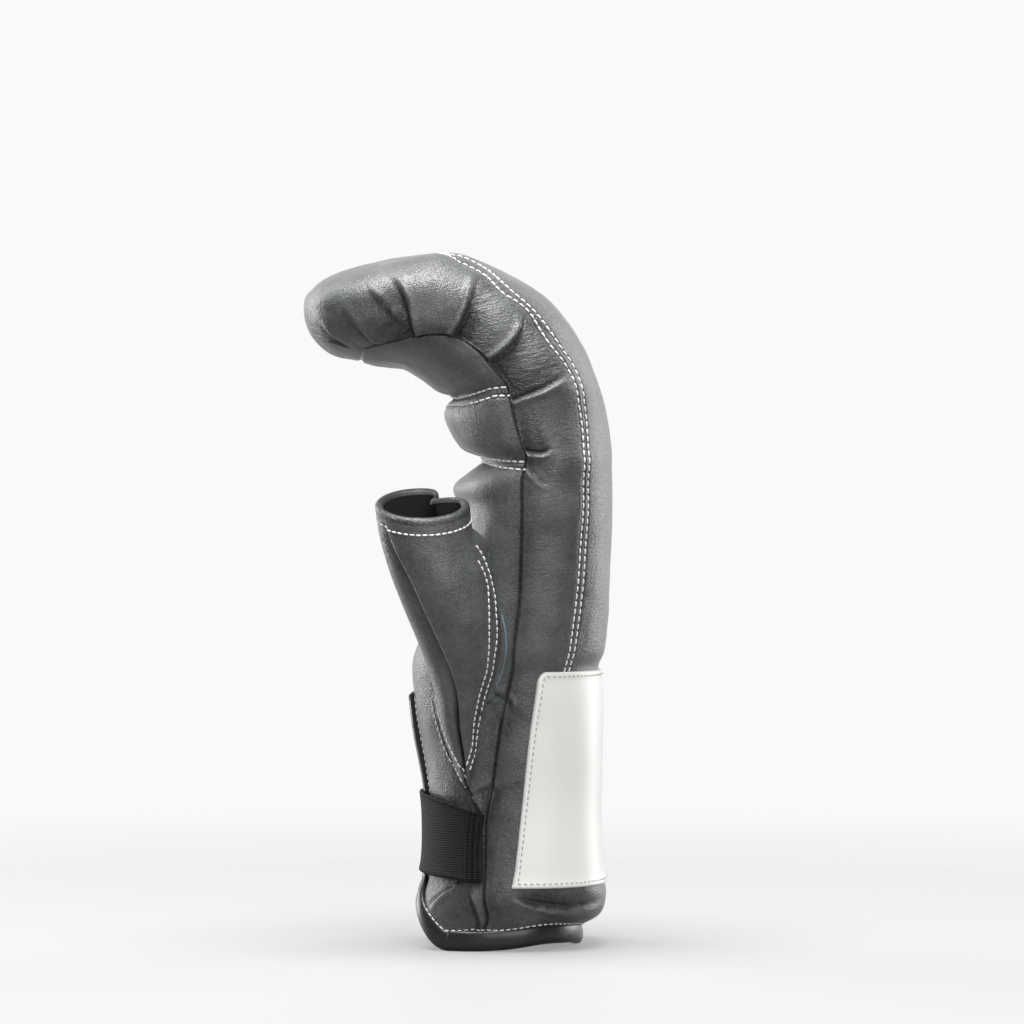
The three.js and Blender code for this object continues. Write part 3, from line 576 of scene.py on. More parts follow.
# Grey cowhide with a satin, pigmented finish. It has a fine pebbled grain, with soft wrinkles where it is
# gathered. Its colour carries painted shade, darker in the folds, and a painted highlight, paler on the
# crease ridges.
def linear(code):
    """An sRGB hex colour as linear light."""
    parts = [int(code[k : k + 2], 16) / 255 for k in (1, 3, 5)]
    return tuple(p / 12.92 if p < 0.04045 else ((p + 0.055) / 1.055) ** 2.4 for p in parts) + (1,)


def new_material(name, colour="#ffffff", roughness=0.5):
    material = bpy.data.materials.new(name)
    material.use_nodes = True
    shader = material.node_tree.nodes["Principled BSDF"]
    shader.inputs["Base Color"].default_value = linear(colour)
    shader.inputs["Roughness"].default_value = roughness
    return material, shader


def add(material, kind, settings=None, links=None):
    """Adds a node. Settings are its properties or unlinked sockets, links are sockets it takes."""
    node = material.node_tree.nodes.new(kind)
    for key, value in (settings or {}).items():
        if isinstance(key, str) and hasattr(node, key):
            setattr(node, key, value)
        else:
            node.inputs[key].default_value = value
    for key, socket in (links or {}).items():
        material.node_tree.links.new(socket, node.inputs[key])
    return node


GRAIN, PORE = 1.1 * MM, 1.76 * MM  # real pores are near 0.2 mm, too fine to show, so these are drawn coarser
WRINKLE, WRINKLE_RUN = 2.2 * MM, 9.0 * MM
MOTTLE = 12 * MM
GRAIN_DEPTH, PORE_DEPTH, WRINKLE_DEPTH = 0.12 * MM, 0.22 * MM, 1.6 * MM


def grain_leather(name, low, high, roughness):
    """Pebbled leather with pores, wrinkled along the piece's lay, a UV map in metres, where it is slack."""
    material, shader = new_material(name)
    where = add(material, "ShaderNodeTexCoord").outputs["Object"]
    lay = add(material, "ShaderNodeUVMap", {"uv_map": "lay"}).outputs["UV"]
    slack = add(material, "ShaderNodeAttribute", {"attribute_name": "slack"}).outputs["Fac"]
    # The fold attribute is painted shade in the creases and at the thumb sleeve's lip, and a painted
    # highlight on the crease ridges.
    fold = add(material, "ShaderNodeAttribute", {"attribute_name": "fold"}).outputs["Fac"]
    wander = add(material, "ShaderNodeTexNoise", {"Scale": 0.5 / GRAIN, "Detail": 2.0}, {"Vector": where})
    links = {4: where, 5: wander.outputs["Color"]}
    wandered = add(material, "ShaderNodeMix", {"data_type": "VECTOR", 0: 0.6 * MM}, links)
    settings = {"Scale": 1 / GRAIN, "feature": "DISTANCE_TO_EDGE"}
    pebbles = add(material, "ShaderNodeTexVoronoi", settings, {"Vector": wandered.outputs[1]})
    settings = {"interpolation_type": "SMOOTHSTEP", "From Max": 0.28}
    pebble_tops = add(material, "ShaderNodeMapRange", settings, {"Value": pebbles.outputs["Distance"]})
    settings = {"Scale": 1 / PORE, "Detail": 5.0, "Roughness": 0.65}
    pores = add(material, "ShaderNodeTexNoise", settings, {"Vector": where}).outputs["Fac"]
    settings = {"Scale": (1 / WRINKLE_RUN, 1 / WRINKLE, 1)}
    stretched = add(material, "ShaderNodeMapping", settings, {"Vector": lay})
    settings = {"Scale": 1.0, "Detail": 4.0, "Roughness": 0.6, "Distortion": 0.5}
    wrinkles = add(material, "ShaderNodeTexNoise", settings, {"Vector": stretched.outputs["Vector"]})
    links = {0: wrinkles.outputs["Fac"]}
    from_middle = add(material, "ShaderNodeMath", {"operation": "SUBTRACT", 1: 0.5}, links)
    pinched = add(material, "ShaderNodeMath", {"operation": "ABSOLUTE"}, {0: from_middle.outputs[0]})
    loose = add(material, "ShaderNodeMath", {"operation": "MULTIPLY"}, {0: pinched.outputs[0], 1: slack})
    mottle = add(material, "ShaderNodeTexNoise", {"Scale": 1 / MOTTLE, "Detail": 5.0}, {"Vector": where})
    # The colour mixes the random mottle and the pores with this painted shade and highlight.
    shade = add(material, "ShaderNodeMath", {"operation": "ADD"}, {0: mottle.outputs["Fac"], 1: fold})
    settings = {"operation": "MULTIPLY_ADD", 1: 0.9}
    pores_mottle_and_painted_shade = add(material, "ShaderNodeMath", settings, {0: pores, 2: shade.outputs[0]})
    centred_tone_and_painted_shade = add(material, "ShaderNodeMath", {"operation": "SUBTRACT", 1: 0.45}, {0: pores_mottle_and_painted_shade.outputs[0]})
    settings = {"data_type": "RGBA", 6: linear(low), 7: linear(high)}
    colour = add(material, "ShaderNodeMix", settings, {0: centred_tone_and_painted_shade.outputs[0]})
    material.node_tree.links.new(colour.outputs[2], shader.inputs["Base Color"])
    reliefs = (
        (pebble_tops.outputs["Result"], 0.6, GRAIN_DEPTH),
        (pores, 0.7, PORE_DEPTH),
        (loose.outputs[0], 1.0, WRINKLE_DEPTH),
    )
    links = {}
    for height, strength, depth in reliefs:
        settings = {"Strength": strength, "Distance": depth}
        bump = add(material, "ShaderNodeBump", settings, {"Height": height, **links})
        links = {"Normal": bump.outputs["Normal"]}
    material.node_tree.links.new(bump.outputs["Normal"], shader.inputs["Normal"])
    settings = {"To Min": roughness - 0.08, "To Max": roughness + 0.1}
    satin = add(material, "ShaderNodeMapRange", settings, {"Value": mottle.outputs["Fac"]})
    material.node_tree.links.new(satin.outputs["Result"], shader.inputs["Roughness"])
    return material


# Satin cowhide gives a broad soft sheen on the puffs, a pebbled grain and wrinkles between the pleats.
cowhide = grain_leather("satin_cowhide", "#282a2a", "#656767", 0.31)

# Black cloth lines the pads, dull, so that the mouths of the cuff and the thumb look deep.
lining, _ = new_material("black_lining_fabric", "#17181a", 0.9)


# The thumb sleeve is a tapering tube of two leather panels, open at the top, sewn to the palm's near edge.
# Its rows give the left and right edges' x as shares of the depth, the height, the middle and half of its
# width as shares of half the hand's width, the angle of the crease between its panels, and its lean.
THUMB = np.array(
    [
        [0.24, 0.543, 0.631, -0.99, 0.278, 218, 0.42],
        [0.252, 0.556, 0.593, -0.98, 0.296, 229, 0.36],
        [0.284, 0.606, 0.544, -0.95, 0.333, 239, 0.27],
        [0.328, 0.638, 0.492, -0.9, 0.352, 243, 0.19],
        [0.372, 0.648, 0.445, -0.852, 0.352, 248, 0.12],
        [0.407, 0.635, 0.404, -0.796, 0.333, 258, 0.08],
        [0.429, 0.609, 0.368, -0.76, 0.287, 270, 0.04],
        [0.448, 0.574, 0.324, -0.74, 0.213, 284, 0.0],
        [0.484, 0.565, 0.278, -0.73, 0.148, 287, 0.0],
        [0.522, 0.545, 0.236, -0.722, 0.093, 285, 0.0],
    ]
)
GLOVE_HEIGHT = 270 * MM
THUMB_END = len(THUMB) - 1
CREASE_DEPTH = 3.8 * MM
CREASE_SPREAD = 30  # degrees over which the inner panel comes out again beside the fold
FOLD_RADIUS = 1.5 * MM
TUCK_TURN, TUCK_DEPTH, TUCK_END, TUCK_SPREAD = 48, 0.55, 2.6, 17  # the far seam is tucked into the mouth
SLEEVE_WALL = 2.4 * MM
HOLE_FROM, HOLE_TO = 0.5, 7  # rows of the sleeve between which it opens into the mitt


def thumb_point(row_at, degrees, wall=0.0, creased=False):
    """A point of the sleeve. creased sinks it along the crease, where the front panel folds over it."""
    row = np.moveaxis(table_at(THUMB, row_at), -1, 0)
    left, right, z, centre, half, crease, lean = row
    half_x = (right - left) * DEPTH / 2
    from_crease = (degrees - crease + 180) % 360 - 180
    sunk = np.where(from_crease > 0, 1, gaussian(from_crease, CREASE_SPREAD)) * creased
    dent = CREASE_DEPTH * sunk * np.clip(row_at * 0.8 + 0.1, 0, 1)
    shrink = np.maximum(0.15, 1 - (wall + dent) / np.minimum(half_x, half * HAND_WIDTH / 2))
    from_tuck = (degrees - TUCK_TURN + 180) % 360 - 180
    shrink = shrink * (1 - TUCK_DEPTH * smooth(1 - row_at / TUCK_END) * gaussian(from_tuck, TUCK_SPREAD))
    around = np.radians(degrees)
    across = half * HAND_WIDTH / 2 * shrink * np.sin(around)
    return np.stack(
        (
            cad_low.x + (left + right) / 2 * DEPTH + half_x * shrink * np.cos(around),
            MIDDLE_Y + centre * HAND_WIDTH / 2 + across,
            z * GLOVE_HEIGHT + lean * across,
        ),
        axis=-1,
    )


def in_sleeve(points, margin):
    """Which points lie inside the sleeve's tube, by at least a margin."""
    rows = np.interp(-points[..., 2], -THUMB[:, 2] * GLOVE_HEIGHT, np.arange(len(THUMB)))
    left, right, _, centre, half = np.moveaxis(table_at(THUMB, rows), -1, 0)[:5]
    half_x = np.maximum((right - left) * DEPTH / 2 - margin, 1e-6)
    half_y = np.maximum(half * HAND_WIDTH / 2 - margin, 1e-6)
    x = (points[..., 0] - cad_low.x - (left + right) / 2 * DEPTH) / half_x
    y = (points[..., 1] - MIDDLE_Y - centre * HAND_WIDTH / 2) / half_y
    return (x**2 + y**2 < 1) & (rows > HOLE_FROM) & (rows < HOLE_TO)


# The three panels of the mitt: the back pad, the side leather that runs on over the fingertips, and the
# palm panel with its two stitched channels. Each is leather outside and black lining inside.
def skin(name, points, quads, materials, slots=None, marks=None, lay=None):
    """A smooth mesh of the vertices that the quads use. marks are named numbers for each point."""
    used, quads = np.unique(quads, return_inverse=True)
    quads = quads.reshape(-1, 4)
    mesh = bpy.data.meshes.new(name)
    mesh.from_pydata(points.reshape(-1, 3)[used].tolist(), [], quads.tolist())
    for material in materials:
        mesh.materials.append(material)
    if slots is not None:
        mesh.polygons.foreach_set("material_index", slots)
    for mark, values in (marks or {}).items():
        mesh.attributes.new(mark, "FLOAT", "POINT").data.foreach_set("value", values.ravel()[used])
    if lay is not None:
        corners = lay.reshape(-1, 2)[used][quads.ravel()]
        mesh.uv_layers.new(name="lay").data.foreach_set("uv", corners.ravel())
    mesh.shade_smooth()
    piece = bpy.data.objects.new(name, mesh)
    bpy.context.collection.objects.link(piece)
    return piece


# Painted shade and painted highlight: the leather's colour is darkened by the depth of its creases, seams and
# channels, and made paler on the crease ridges.
PAINTED_TONE_PER_HEIGHT, DEEPEST_PAINTED_SHADE, BRIGHTEST_PAINTED_HIGHLIGHT = 0.3 / (1.5 * MM), -0.4, 0.35  # folds darken with their depth
painted_shade_and_highlight = np.clip(heights * PAINTED_TONE_PER_HEIGHT, DEEPEST_PAINTED_SHADE, BRIGHTEST_PAINTED_HIGHLIGHT)
LEAST_SLACK, SEAM_SLACK, CHANNEL_SLACK = 0.2, 0.8, 0.4
SEAM_SLACK_REACH, CHANNEL_SLACK_REACH = 9 * MM, 6 * MM
SLACK_CREASE = 3 * MM  # height of a crease that is wholly slack
near_seams = gaussian(np.minimum(from_seam, from_pad), SEAM_SLACK_REACH) * ramp(row_station, 12, 15)
near_channels = gaussian(from_channel, CHANNEL_SLACK_REACH) * on_palm
slackness = LEAST_SLACK + SEAM_SLACK * near_seams * on_side + CHANNEL_SLACK * near_channels
slackness = np.clip(slackness + np.abs(creases) / SLACK_CREASE, 0, 1)
slackness = slackness * calm * smooth(np.abs(angle - math.pi) * 4)
WRINKLE_TURN = math.radians(12)  # the side leather's wrinkles lean by this
lay = np.where(
    on_palm[..., None],
    np.stack((long_run, np.minimum(round_run, ring_length - round_run)), axis=-1),
    np.stack(
        (
            from_seam * math.cos(WRINKLE_TURN) + long_run * math.sin(WRINKLE_TURN),
            long_run * math.cos(WRINKLE_TURN) - from_seam * math.sin(WRINKLE_TURN),
        ),
        axis=-1,
    ),
)
LINING_STEP, LINING_COUNTS = 2.6 * MM, (4, 20, 18, 14)
inner_station, inner_angle, inner_zones = mitt_grid(LINING_STEP, LINING_STEP, LINING_COUNTS)
inner_row_station = inner_station[:, None] + inner_angle * 0
lining_surface = inside(inner_row_station, inner_angle)
inner_quads = quads_of(*inner_angle.shape, closed=True)[..., ::-1]


THUMB_HOLE_MARGIN = 5 * MM
over_thumb = in_sleeve((leather_surface[:-1] + leather_surface[1:]) / 2, THUMB_HOLE_MARGIN)
inner_over_thumb = in_sleeve((lining_surface[:-1] + lining_surface[1:]) / 2, THUMB_HOLE_MARGIN)


def panel(name, belongs):
    """One panel of the mitt, with the outer leather and the lining behind it."""
    rows = (station[:-1] + station[1:])[:, None] / 2
    outer = all_quads[belongs(rows, zones[None]) & ~over_thumb]
    rows = (inner_station[:-1] + inner_station[1:])[:, None] / 2
    inner = inner_quads[belongs(rows, inner_zones[None]) & ~inner_over_thumb]
    inner = inner + surface.shape[0] * surface.shape[1]
    points = np.vstack((leather_surface.reshape(-1, 3), lining_surface.reshape(-1, 3)))
    rest = np.zeros(lining_surface.shape[0] * lining_surface.shape[1])
    marks = {
        "fold": np.concatenate((painted_shade_and_highlight.ravel(), rest)),
        "slack": np.concatenate((slackness.ravel(), rest)),
    }
    laid = np.vstack((lay.reshape(-1, 2), np.zeros((len(rest), 2))))
    slots = np.array([0] * len(outer) + [1] * len(inner))
    piece = skin(name, points, np.vstack((outer, inner)), (cowhide, lining), slots, marks, laid)
    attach(piece, "root")
    return piece


def of_side_leather(s, zone):
    """The whole side, and the fingertips past the ends of the palm panel and of the pad."""
    return (zone == "side") | ((s > PALM_END) & (zone != "back")) | ((s > PAD_END) & (zone == "back"))


def of_palm(s, zone):
    """The palm up to the fingertips, without the slit."""
    return (s < PALM_END) & ((zone == "palm") | ((zone == "slit") & (s > SLIT_STATION)))


back_pad = panel("padded_back", lambda s, zone: (zone == "back") & (s < PAD_END))
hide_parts("back_pad")
side_panel = panel("gathered_side_leather", of_side_leather)
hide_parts("side_leather")
palm_panel = panel("channelled_palm", of_palm)
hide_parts("palm_panel")


# The sleeve's two panels. Their mouth is turned over to the inside as a thick round lip, the front panel is
# lapped flat onto the palm along a raw edge, and the inner panel runs down behind it into the palm's heel.
LIP, LIP_ROWS = 1.7 * MM, 6
LAP, LAP_BLEND = 1.5 * MM, 1.2 * MM  # the lap's height over the palm, and how softly it comes to it
TUCKED_UNDER = -0.6 * MM  # the cut edge sinks this far into the leather below it
SEAT_REACH = 14 * MM  # the sleeve is fitted to the leather where it comes nearer than this
RAW_EDGE, RAW_FROM = 1.3 * MM, 1.5  # width of the cut edge, and the sleeve's section where it starts


def unit(vectors):
    return vectors / np.linalg.norm(vectors, axis=-1, keepdims=True)


def seated(grid, least, blend, press=None):
    """The grid moved out of the mitt so that it clears the leather, or pressed down to that height."""
    flat = grid.reshape(-1, 3)
    place, normal = np.empty_like(flat), np.empty_like(flat)
    for k, point in enumerate(flat.tolist()):
        found = mitt_tree.find_nearest(point)
        place[k], normal[k] = found[0], found[1]
    height = np.einsum("ij,ij->i", flat - place, normal)
    over = height - least
    raised = least + (over + np.sqrt(over**2 + blend**2)) / 2
    if press is not None:
        raised = raised + (least - raised) * press.ravel()
    moved = flat + normal * (raised - height)[:, None]
    moved = np.where((height < SEAT_REACH)[:, None], moved, flat)
    return moved.reshape(grid.shape), height.reshape(grid.shape[:2])


def lip_rows(degrees):
    """Rows that roll the mouth's edge over to the inside."""
    turns = np.linspace(math.pi, 0, LIP_ROWS + 1)[:-1]
    top = thumb_point(degrees * 0, degrees)
    inward = unit(thumb_point(degrees * 0, degrees, 1.0 * MM) - top)
    up = unit(top - thumb_point(degrees * 0 + 0.2, degrees))
    return np.stack([top + inward * LIP * (1 - math.cos(t)) + up * LIP * math.sin(t) for t in turns])


sleeve_rows = np.linspace(0, THUMB_END, 190)


def crease_at(rows):
    return table_at(THUMB, rows)[..., 5]


def lap_edge(rows):
    """The front panel's right edge, in degrees: it lies on the palm below the mouth."""
    return TUCK_TURN * (1 - ramp(rows, 0.6, 1.4))


def sleeve_grid(low, high, count):
    """Rows down the sleeve, and angles in degrees between two edges that change with the rows."""
    shares = np.linspace(0, 1, count)
    degrees = low(sleeve_rows)[:, None] * (1 - shares) + high(sleeve_rows)[:, None] * shares
    return sleeve_rows[:, None] + degrees * 0, degrees


SLEEVE_SLACK = 0.16
# Painted shade: the lip of the sleeve's mouth and the first rows below it are painted darker.
PAINTED_LIP_SHADE, PAINTED_SHADE_ROWS = -0.35, 9  # the lip and the first rows below it look darker


def sleeve_lay(grid):
    """Lengths round and down the sleeve, for its wrinkles, which run across it."""
    around = np.linalg.norm(np.diff(grid, axis=1), axis=2).cumsum(axis=1)
    down = np.linalg.norm(np.diff(grid, axis=0), axis=2).cumsum(axis=0)
    around = np.hstack((around[:, :1] * 0, around))
    down = np.vstack((down[:1] * 0, down))
    return np.stack((around, down), axis=-1)


def sleeve_marks(grid):
    """The painted shade on the sleeve's lip and the rows below it, and how slack its leather is."""
    shade = np.zeros(grid.shape[:2])
    shade[:PAINTED_SHADE_ROWS] = PAINTED_LIP_SHADE
    return {"fold": shade, "slack": np.full(grid.shape[:2], SLEEVE_SLACK)}


def folded_edge(rows, degrees):
    """Columns that roll the front panel's left edge under, over the inner panel."""
    edge = thumb_point(rows, degrees)
    under = unit(thumb_point(rows, degrees, 1.0 * MM) - edge)
    left = unit(thumb_point(rows, degrees - 3) - edge)
    radius = (FOLD_RADIUS * smooth(rows / 1.5 + 0.15) * smooth((THUMB_END - rows) / 3 + 0.3))[..., None]
    turns = np.linspace(math.pi, 0, 9)[:-1]
    rolls = [edge + radius * (left * 1.3 * math.sin(t) + under * (1 - math.cos(t))) for t in turns]
    return np.concatenate(rolls, axis=1)


rows, degrees = sleeve_grid(lambda r: crease_at(r) - 360, lap_edge, 90)
front = thumb_point(rows, degrees)
press = ramp(degrees, -30, -2) * ramp(rows, 0.9, 1.6)
front, _ = seated(front, LAP, LAP_BLEND, press)
cut_edge = front[:, -1:] + unit(front[:, -1:] - front[:, -14:-13]) * RAW_EDGE
tucked, above = seated(cut_edge, TUCKED_UNDER, 0.01 * MM, cut_edge[..., 0] * 0 + 1)
tucked_share = np.clip((LAP - TUCKED_UNDER) / np.maximum(above, 1e-6), 0, 1)[..., None]
lowered = cut_edge + (tucked - cut_edge) * tucked_share
fold = folded_edge(rows[:, :1], degrees[:, :1])
front = np.concatenate((fold, front, lowered), axis=1)
lip = lip_rows(degrees[0])
lip = np.concatenate((lip[:, :1].repeat(fold.shape[1], axis=1), lip, lip[:, -1:]), axis=1)
front = np.concatenate((lip, front))
front_quads = quads_of(*front.shape[:2], closed=False)
raw_edge = np.zeros(front_quads.shape[:2], dtype=int)
raw_edge[LIP_ROWS:, -1] = sleeve_rows[:-1] > RAW_FROM

# The cut edge of the front panel shows the undyed, fuzzy inside of the hide, a dull blue-grey.
raw_leather, _ = new_material("cut_leather_edge", "#74868f", 0.8)
front_piece = skin(
    "thumb_sleeve_front",
    front,
    front_quads.reshape(-1, 4),
    (cowhide, raw_leather),
    raw_edge.ravel(),
    sleeve_marks(front),
    sleeve_lay(front),
)
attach(front_piece, "root")
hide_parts("thumb_front_panel")

INNER_LAP, INNER_BLEND = 0.9 * MM, 0.8 * MM
HIDDEN_DEPTH = 2.5 * MM  # what lies deeper in the mitt than this isn't made
LINING_END = 7.5  # section of the sleeve down to which its lining is seen
rows, degrees = sleeve_grid(lambda r: r * 0 + TUCK_TURN, lambda r: crease_at(r) + 10, 90)
inner_panel, inner_height = seated(thumb_point(rows, degrees, creased=True), INNER_LAP, INNER_BLEND)
inner_panel = np.concatenate((lip_rows(degrees[0]), inner_panel))
inner_height = np.vstack((np.ones((LIP_ROWS, inner_height.shape[1])), inner_height))
panel_quads = quads_of(*inner_panel.shape[:2], closed=False)
outside_mitt = inner_height.ravel()[panel_quads].min(axis=-1) > -HIDDEN_DEPTH
lining_around = np.linspace(0, 360, 61)
lining_rows, lining_degrees = np.meshgrid(np.linspace(0, LINING_END, 60), lining_around, indexing="ij")
sleeve_lining = thumb_point(lining_rows, lining_degrees, SLEEVE_WALL + LIP * 0.55)
lining_quads = quads_of(*sleeve_lining.shape[:2], closed=False)[..., ::-1].reshape(-1, 4)
kept = panel_quads[outside_mitt]
no_marks = np.zeros(sleeve_lining.shape[0] * sleeve_lining.shape[1])
inner_marks = {k: np.concatenate((v.ravel(), no_marks)) for k, v in sleeve_marks(inner_panel).items()}
inner_piece = skin(
    "thumb_sleeve_inner",
    np.vstack((inner_panel.reshape(-1, 3), sleeve_lining.reshape(-1, 3))),
    np.vstack((kept, lining_quads + inner_panel.shape[0] * inner_panel.shape[1])),
    (cowhide, lining),
    np.array([0] * len(kept) + [1] * len(lining_quads)),
    inner_marks,
    np.vstack((sleeve_lay(inner_panel).reshape(-1, 2), sleeve_lay(sleeve_lining).reshape(-1, 2))),
)
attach(inner_piece, "root")
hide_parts("thumb_inner_panel")


# The cuff's hem and the slit are bound with a strip of glossy black leather, rolled over the raw edges.
# The two strips meet on the palm, at both corners of the slit, with the slit's end tucked under the hem's.
HEM_HEIGHT = 7 * MM
SLIT_HEIGHT = 4.5 * MM
HEM_LIP, SLIT_LIP = 1.0 * MM, 1.8 * MM  # how far the strips stand out from the leather
BINDING_GAP = 0.35 * MM
JOIN_SHARE = 5 / 7  # way of the joins from the slit to the palm seam
JOIN_GAP = 0.004  # half the gap at the joins, as a turn
TUCKED = 1.2 * MM  # how far the strip's rolled edge reaches back over the leather


def embossed(name, colour, roughness, pattern, scaled, strength, depth):
    """A material with the relief of a pattern that runs through the piece in metres."""
    material, shader = new_material(name, colour, roughness)
    where = add(material, "ShaderNodeTexCoord").outputs["Object"]
    heights = add(material, pattern, scaled, {"Vector": where}).outputs["Fac"]
    bump = add(material, "ShaderNodeBump", {"Strength": strength, "Distance": depth}, {"Height": heights})
    material.node_tree.links.new(bump.outputs["Normal"], shader.inputs["Normal"])
    return material, shader


# Glossy binding leather shows a narrow bright line along its roll, broken by shallow creases 3 mm apart.
creasing = {"Scale": 1 / (3 * MM), "Detail": 4.0}
binding_leather, _ = embossed(
    "glossy_binding_leather", "#1d1f21", 0.3, "ShaderNodeTexNoise", creasing, 0.5, 0.3 * MM
)


def binding(name, stations, angles, height, replaced):
    """A rolled strip round the leather's edge, which the stations and angles follow."""
    outer, inner = outside(stations, angles), inside(stations, angles)
    outer[:, 2] += cuff_wave(outer)
    inner[:, 2] += cuff_wave(inner)
    forward = np.gradient(outer + inner, axis=0)
    wall = np.linalg.norm(outer - inner, axis=1, keepdims=True)
    out = unit(outer - inner)
    past = unit(np.cross(out, forward))
    middle = (outer + inner) / 2
    rings = []
    height = np.broadcast_to(height, stations.shape)[:, None]
    lip = np.interp(height, (SLIT_HEIGHT, HEM_HEIGHT), (SLIT_LIP, HEM_LIP))
    for turn_at in np.linspace(0, 2 * math.pi, 28, endpoint=False):
        across = signed_power(math.cos(turn_at), 0.75) * (wall / 2 + lip)
        rise = height * 0.5 * (1 + signed_power(math.sin(turn_at), 0.75))
        rings.append(middle + out * across + past * (BINDING_GAP + rise - TUCKED * (1 - rise / height)))
    grid = np.stack(rings, axis=1)
    ends = grid[[0, -1]].mean(axis=1, keepdims=True).repeat(grid.shape[1], axis=1)
    closed = np.concatenate((ends[:1], grid, ends[1:]))
    piece = skin(name, closed, quads_of(*closed.shape[:2], closed=True).reshape(-1, 4), (binding_leather,))
    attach(piece, "root")
    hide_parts(replaced)
    return piece


at_cuff = np.array([0.0])
corner = slit_angle(at_cuff)[0]
join = float(corner * (1 - JOIN_SHARE) + seam_angle(at_cuff)[0] * JOIN_SHARE)
hem_angles = np.linspace(join + JOIN_GAP, 2 * math.pi - join - JOIN_GAP, 420)
binding("hem_binding", hem_angles * 0, hem_angles, HEM_HEIGHT, "hem_edging")
up = np.linspace(0, SLIT_STATION, 120)[1:]
over_top = np.linspace(slit_angle(up[-1:])[0], -slit_angle(up[-1:])[0], 16)[1:-1]
corner_run = np.linspace(join - JOIN_GAP, corner, 40)
slit_stations = np.concatenate((corner_run * 0, up, over_top * 0 + SLIT_STATION, up[::-1], corner_run * 0))
slit_angles = np.concatenate(
    (-corner_run, -slit_angle(up), -over_top, slit_angle(up)[::-1], corner_run[::-1])
)
corner_height = SLIT_HEIGHT + (HEM_HEIGHT - SLIT_HEIGHT) * smooth(np.linspace(1.3, -0.1, 40))
even_height = np.full(2 * len(up) + len(over_top), SLIT_HEIGHT)
slit_heights = np.concatenate((corner_height, even_height, corner_height[::-1]))
binding("slit_binding", slit_stations, slit_angles % (2 * math.pi), slit_heights, "slit_edging")


# The wrist is closed over the slit by a wide elastic webbing, woven with fine ribs along it. Its ends are
# gathered into the palm seams, where the slack stands up in ridges.
ELASTIC_BOTTOM, ELASTIC_END_DROP = 29 * MM, 2.5 * MM
ELASTIC_WIDTH, ELASTIC_END_WIDTH = 31 * MM, 26.5 * MM
ELASTIC_THICKNESS = 1.6 * MM
ELASTIC_CLEARANCE, ELASTIC_END_CLEARANCE = 2.2 * MM, 0.4 * MM
GATHER_AT, GATHER_WIDTH = 0.94, 0.07  # where the gathers are and how wide, as ways from the middle to an end
GATHER_HEIGHT, GATHER_TURNS = 1.0 * MM, 160  # the ridges, and the radians of their wave over half the webbing
RIB = 0.9 * MM
EDGE_SHARE = 0.02  # of the webbing's width, taken by each rounded edge

# Ribbed elastic webbing is dull black, and its ribs, one each 0.9 mm, catch a little light.
ribs = {"Scale": 0.314 / RIB, "bands_direction": "Z", "Distortion": 0.6, "Detail": 2.0, "Detail Scale": 2.0}
elastic_webbing, elastic_shader = embossed(
    "ribbed_elastic_webbing", "#212122", 0.85, "ShaderNodeTexWave", ribs, 0.8, 0.3 * MM
)
elastic_shader.inputs["Specular IOR Level"].default_value = 0.25
shares = np.linspace(-1, 1, 500)
half_turn = np.linspace(-math.pi / 2, math.pi / 2, 7)
edge_up, edge_out = EDGE_SHARE * (1 - np.cos(half_turn)), 0.5 * np.sin(half_turn)
outer_up = np.linspace(EDGE_SHARE, 1 - EDGE_SHARE, 26)
inner_up = np.linspace(1 - EDGE_SHARE, EDGE_SHARE, 6)
profile_up = np.concatenate((outer_up, 1 - edge_up, inner_up, edge_up))
profile_out = np.concatenate((outer_up * 0 + 1, 0.5 - edge_out, inner_up * 0, 0.5 + edge_out))
to_end = shares**2
bottom = ELASTIC_BOTTOM - ELASTIC_END_DROP * to_end
width = ELASTIC_WIDTH + (ELASTIC_END_WIDTH - ELASTIC_WIDTH) * to_end
level = bottom[:, None] + width[:, None] * profile_up[None]
elastic_station = station_at_height(level)
elastic_angle = shares[:, None] * seam_angle(elastic_station) % (2 * math.pi)
gather = gaussian(GATHER_AT - np.abs(shares), GATHER_WIDTH)[:, None]
waves = np.abs(shares)[:, None] * GATHER_TURNS + 0.8 * np.sin(profile_up * 5)[None]
ridges = GATHER_HEIGHT * np.sin(waves) * gather
settle = ramp(np.abs(shares), 1, 0.88)[:, None]
clearance = ELASTIC_END_CLEARANCE + (ELASTIC_CLEARANCE - ELASTIC_END_CLEARANCE) * settle
elastic_out = clearance + ELASTIC_THICKNESS * profile_out[None] + ridges
elastic_grid = section_point(elastic_station, elastic_angle, -elastic_out, -elastic_out, -elastic_out)
elastic_quads = quads_of(*elastic_grid.shape[:2], closed=True).reshape(-1, 4)
elastic = skin("wrist_elastic_webbing", elastic_grid, elastic_quads, (elastic_webbing,))
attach(elastic, "root")
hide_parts("wrist_elastic")


# A patch of white coated leather wraps the back of the wrist, plain, with rounded upper corners, sewn on
# close to its edge all round.
PATCH_BOTTOM = 24.5 * MM
PATCH_HEIGHT = 83 * MM
PATCH_THICKNESS = 1.1 * MM
PATCH_EDGE_LOW, PATCH_EDGE_HIGH = 0.49, 0.68  # its edge's way from palm to back, at the bottom and top
PATCH_CORNER = 4.5 * MM
PATCH_ROUND = 0.7 * MM  # radius of its edge
PATCH_GIRTH = 150 * MM  # rough length round the wrist, for the rounding alone
PATCH_SUNK, PATCH_RISE = 0.4 * MM, 0.9 * MM  # how deep its edge is pressed in, and how much it swells
PATCH_UNEVENNESS = (22 * MM, 0.35 * MM, 11.0)  # scale, height and seed

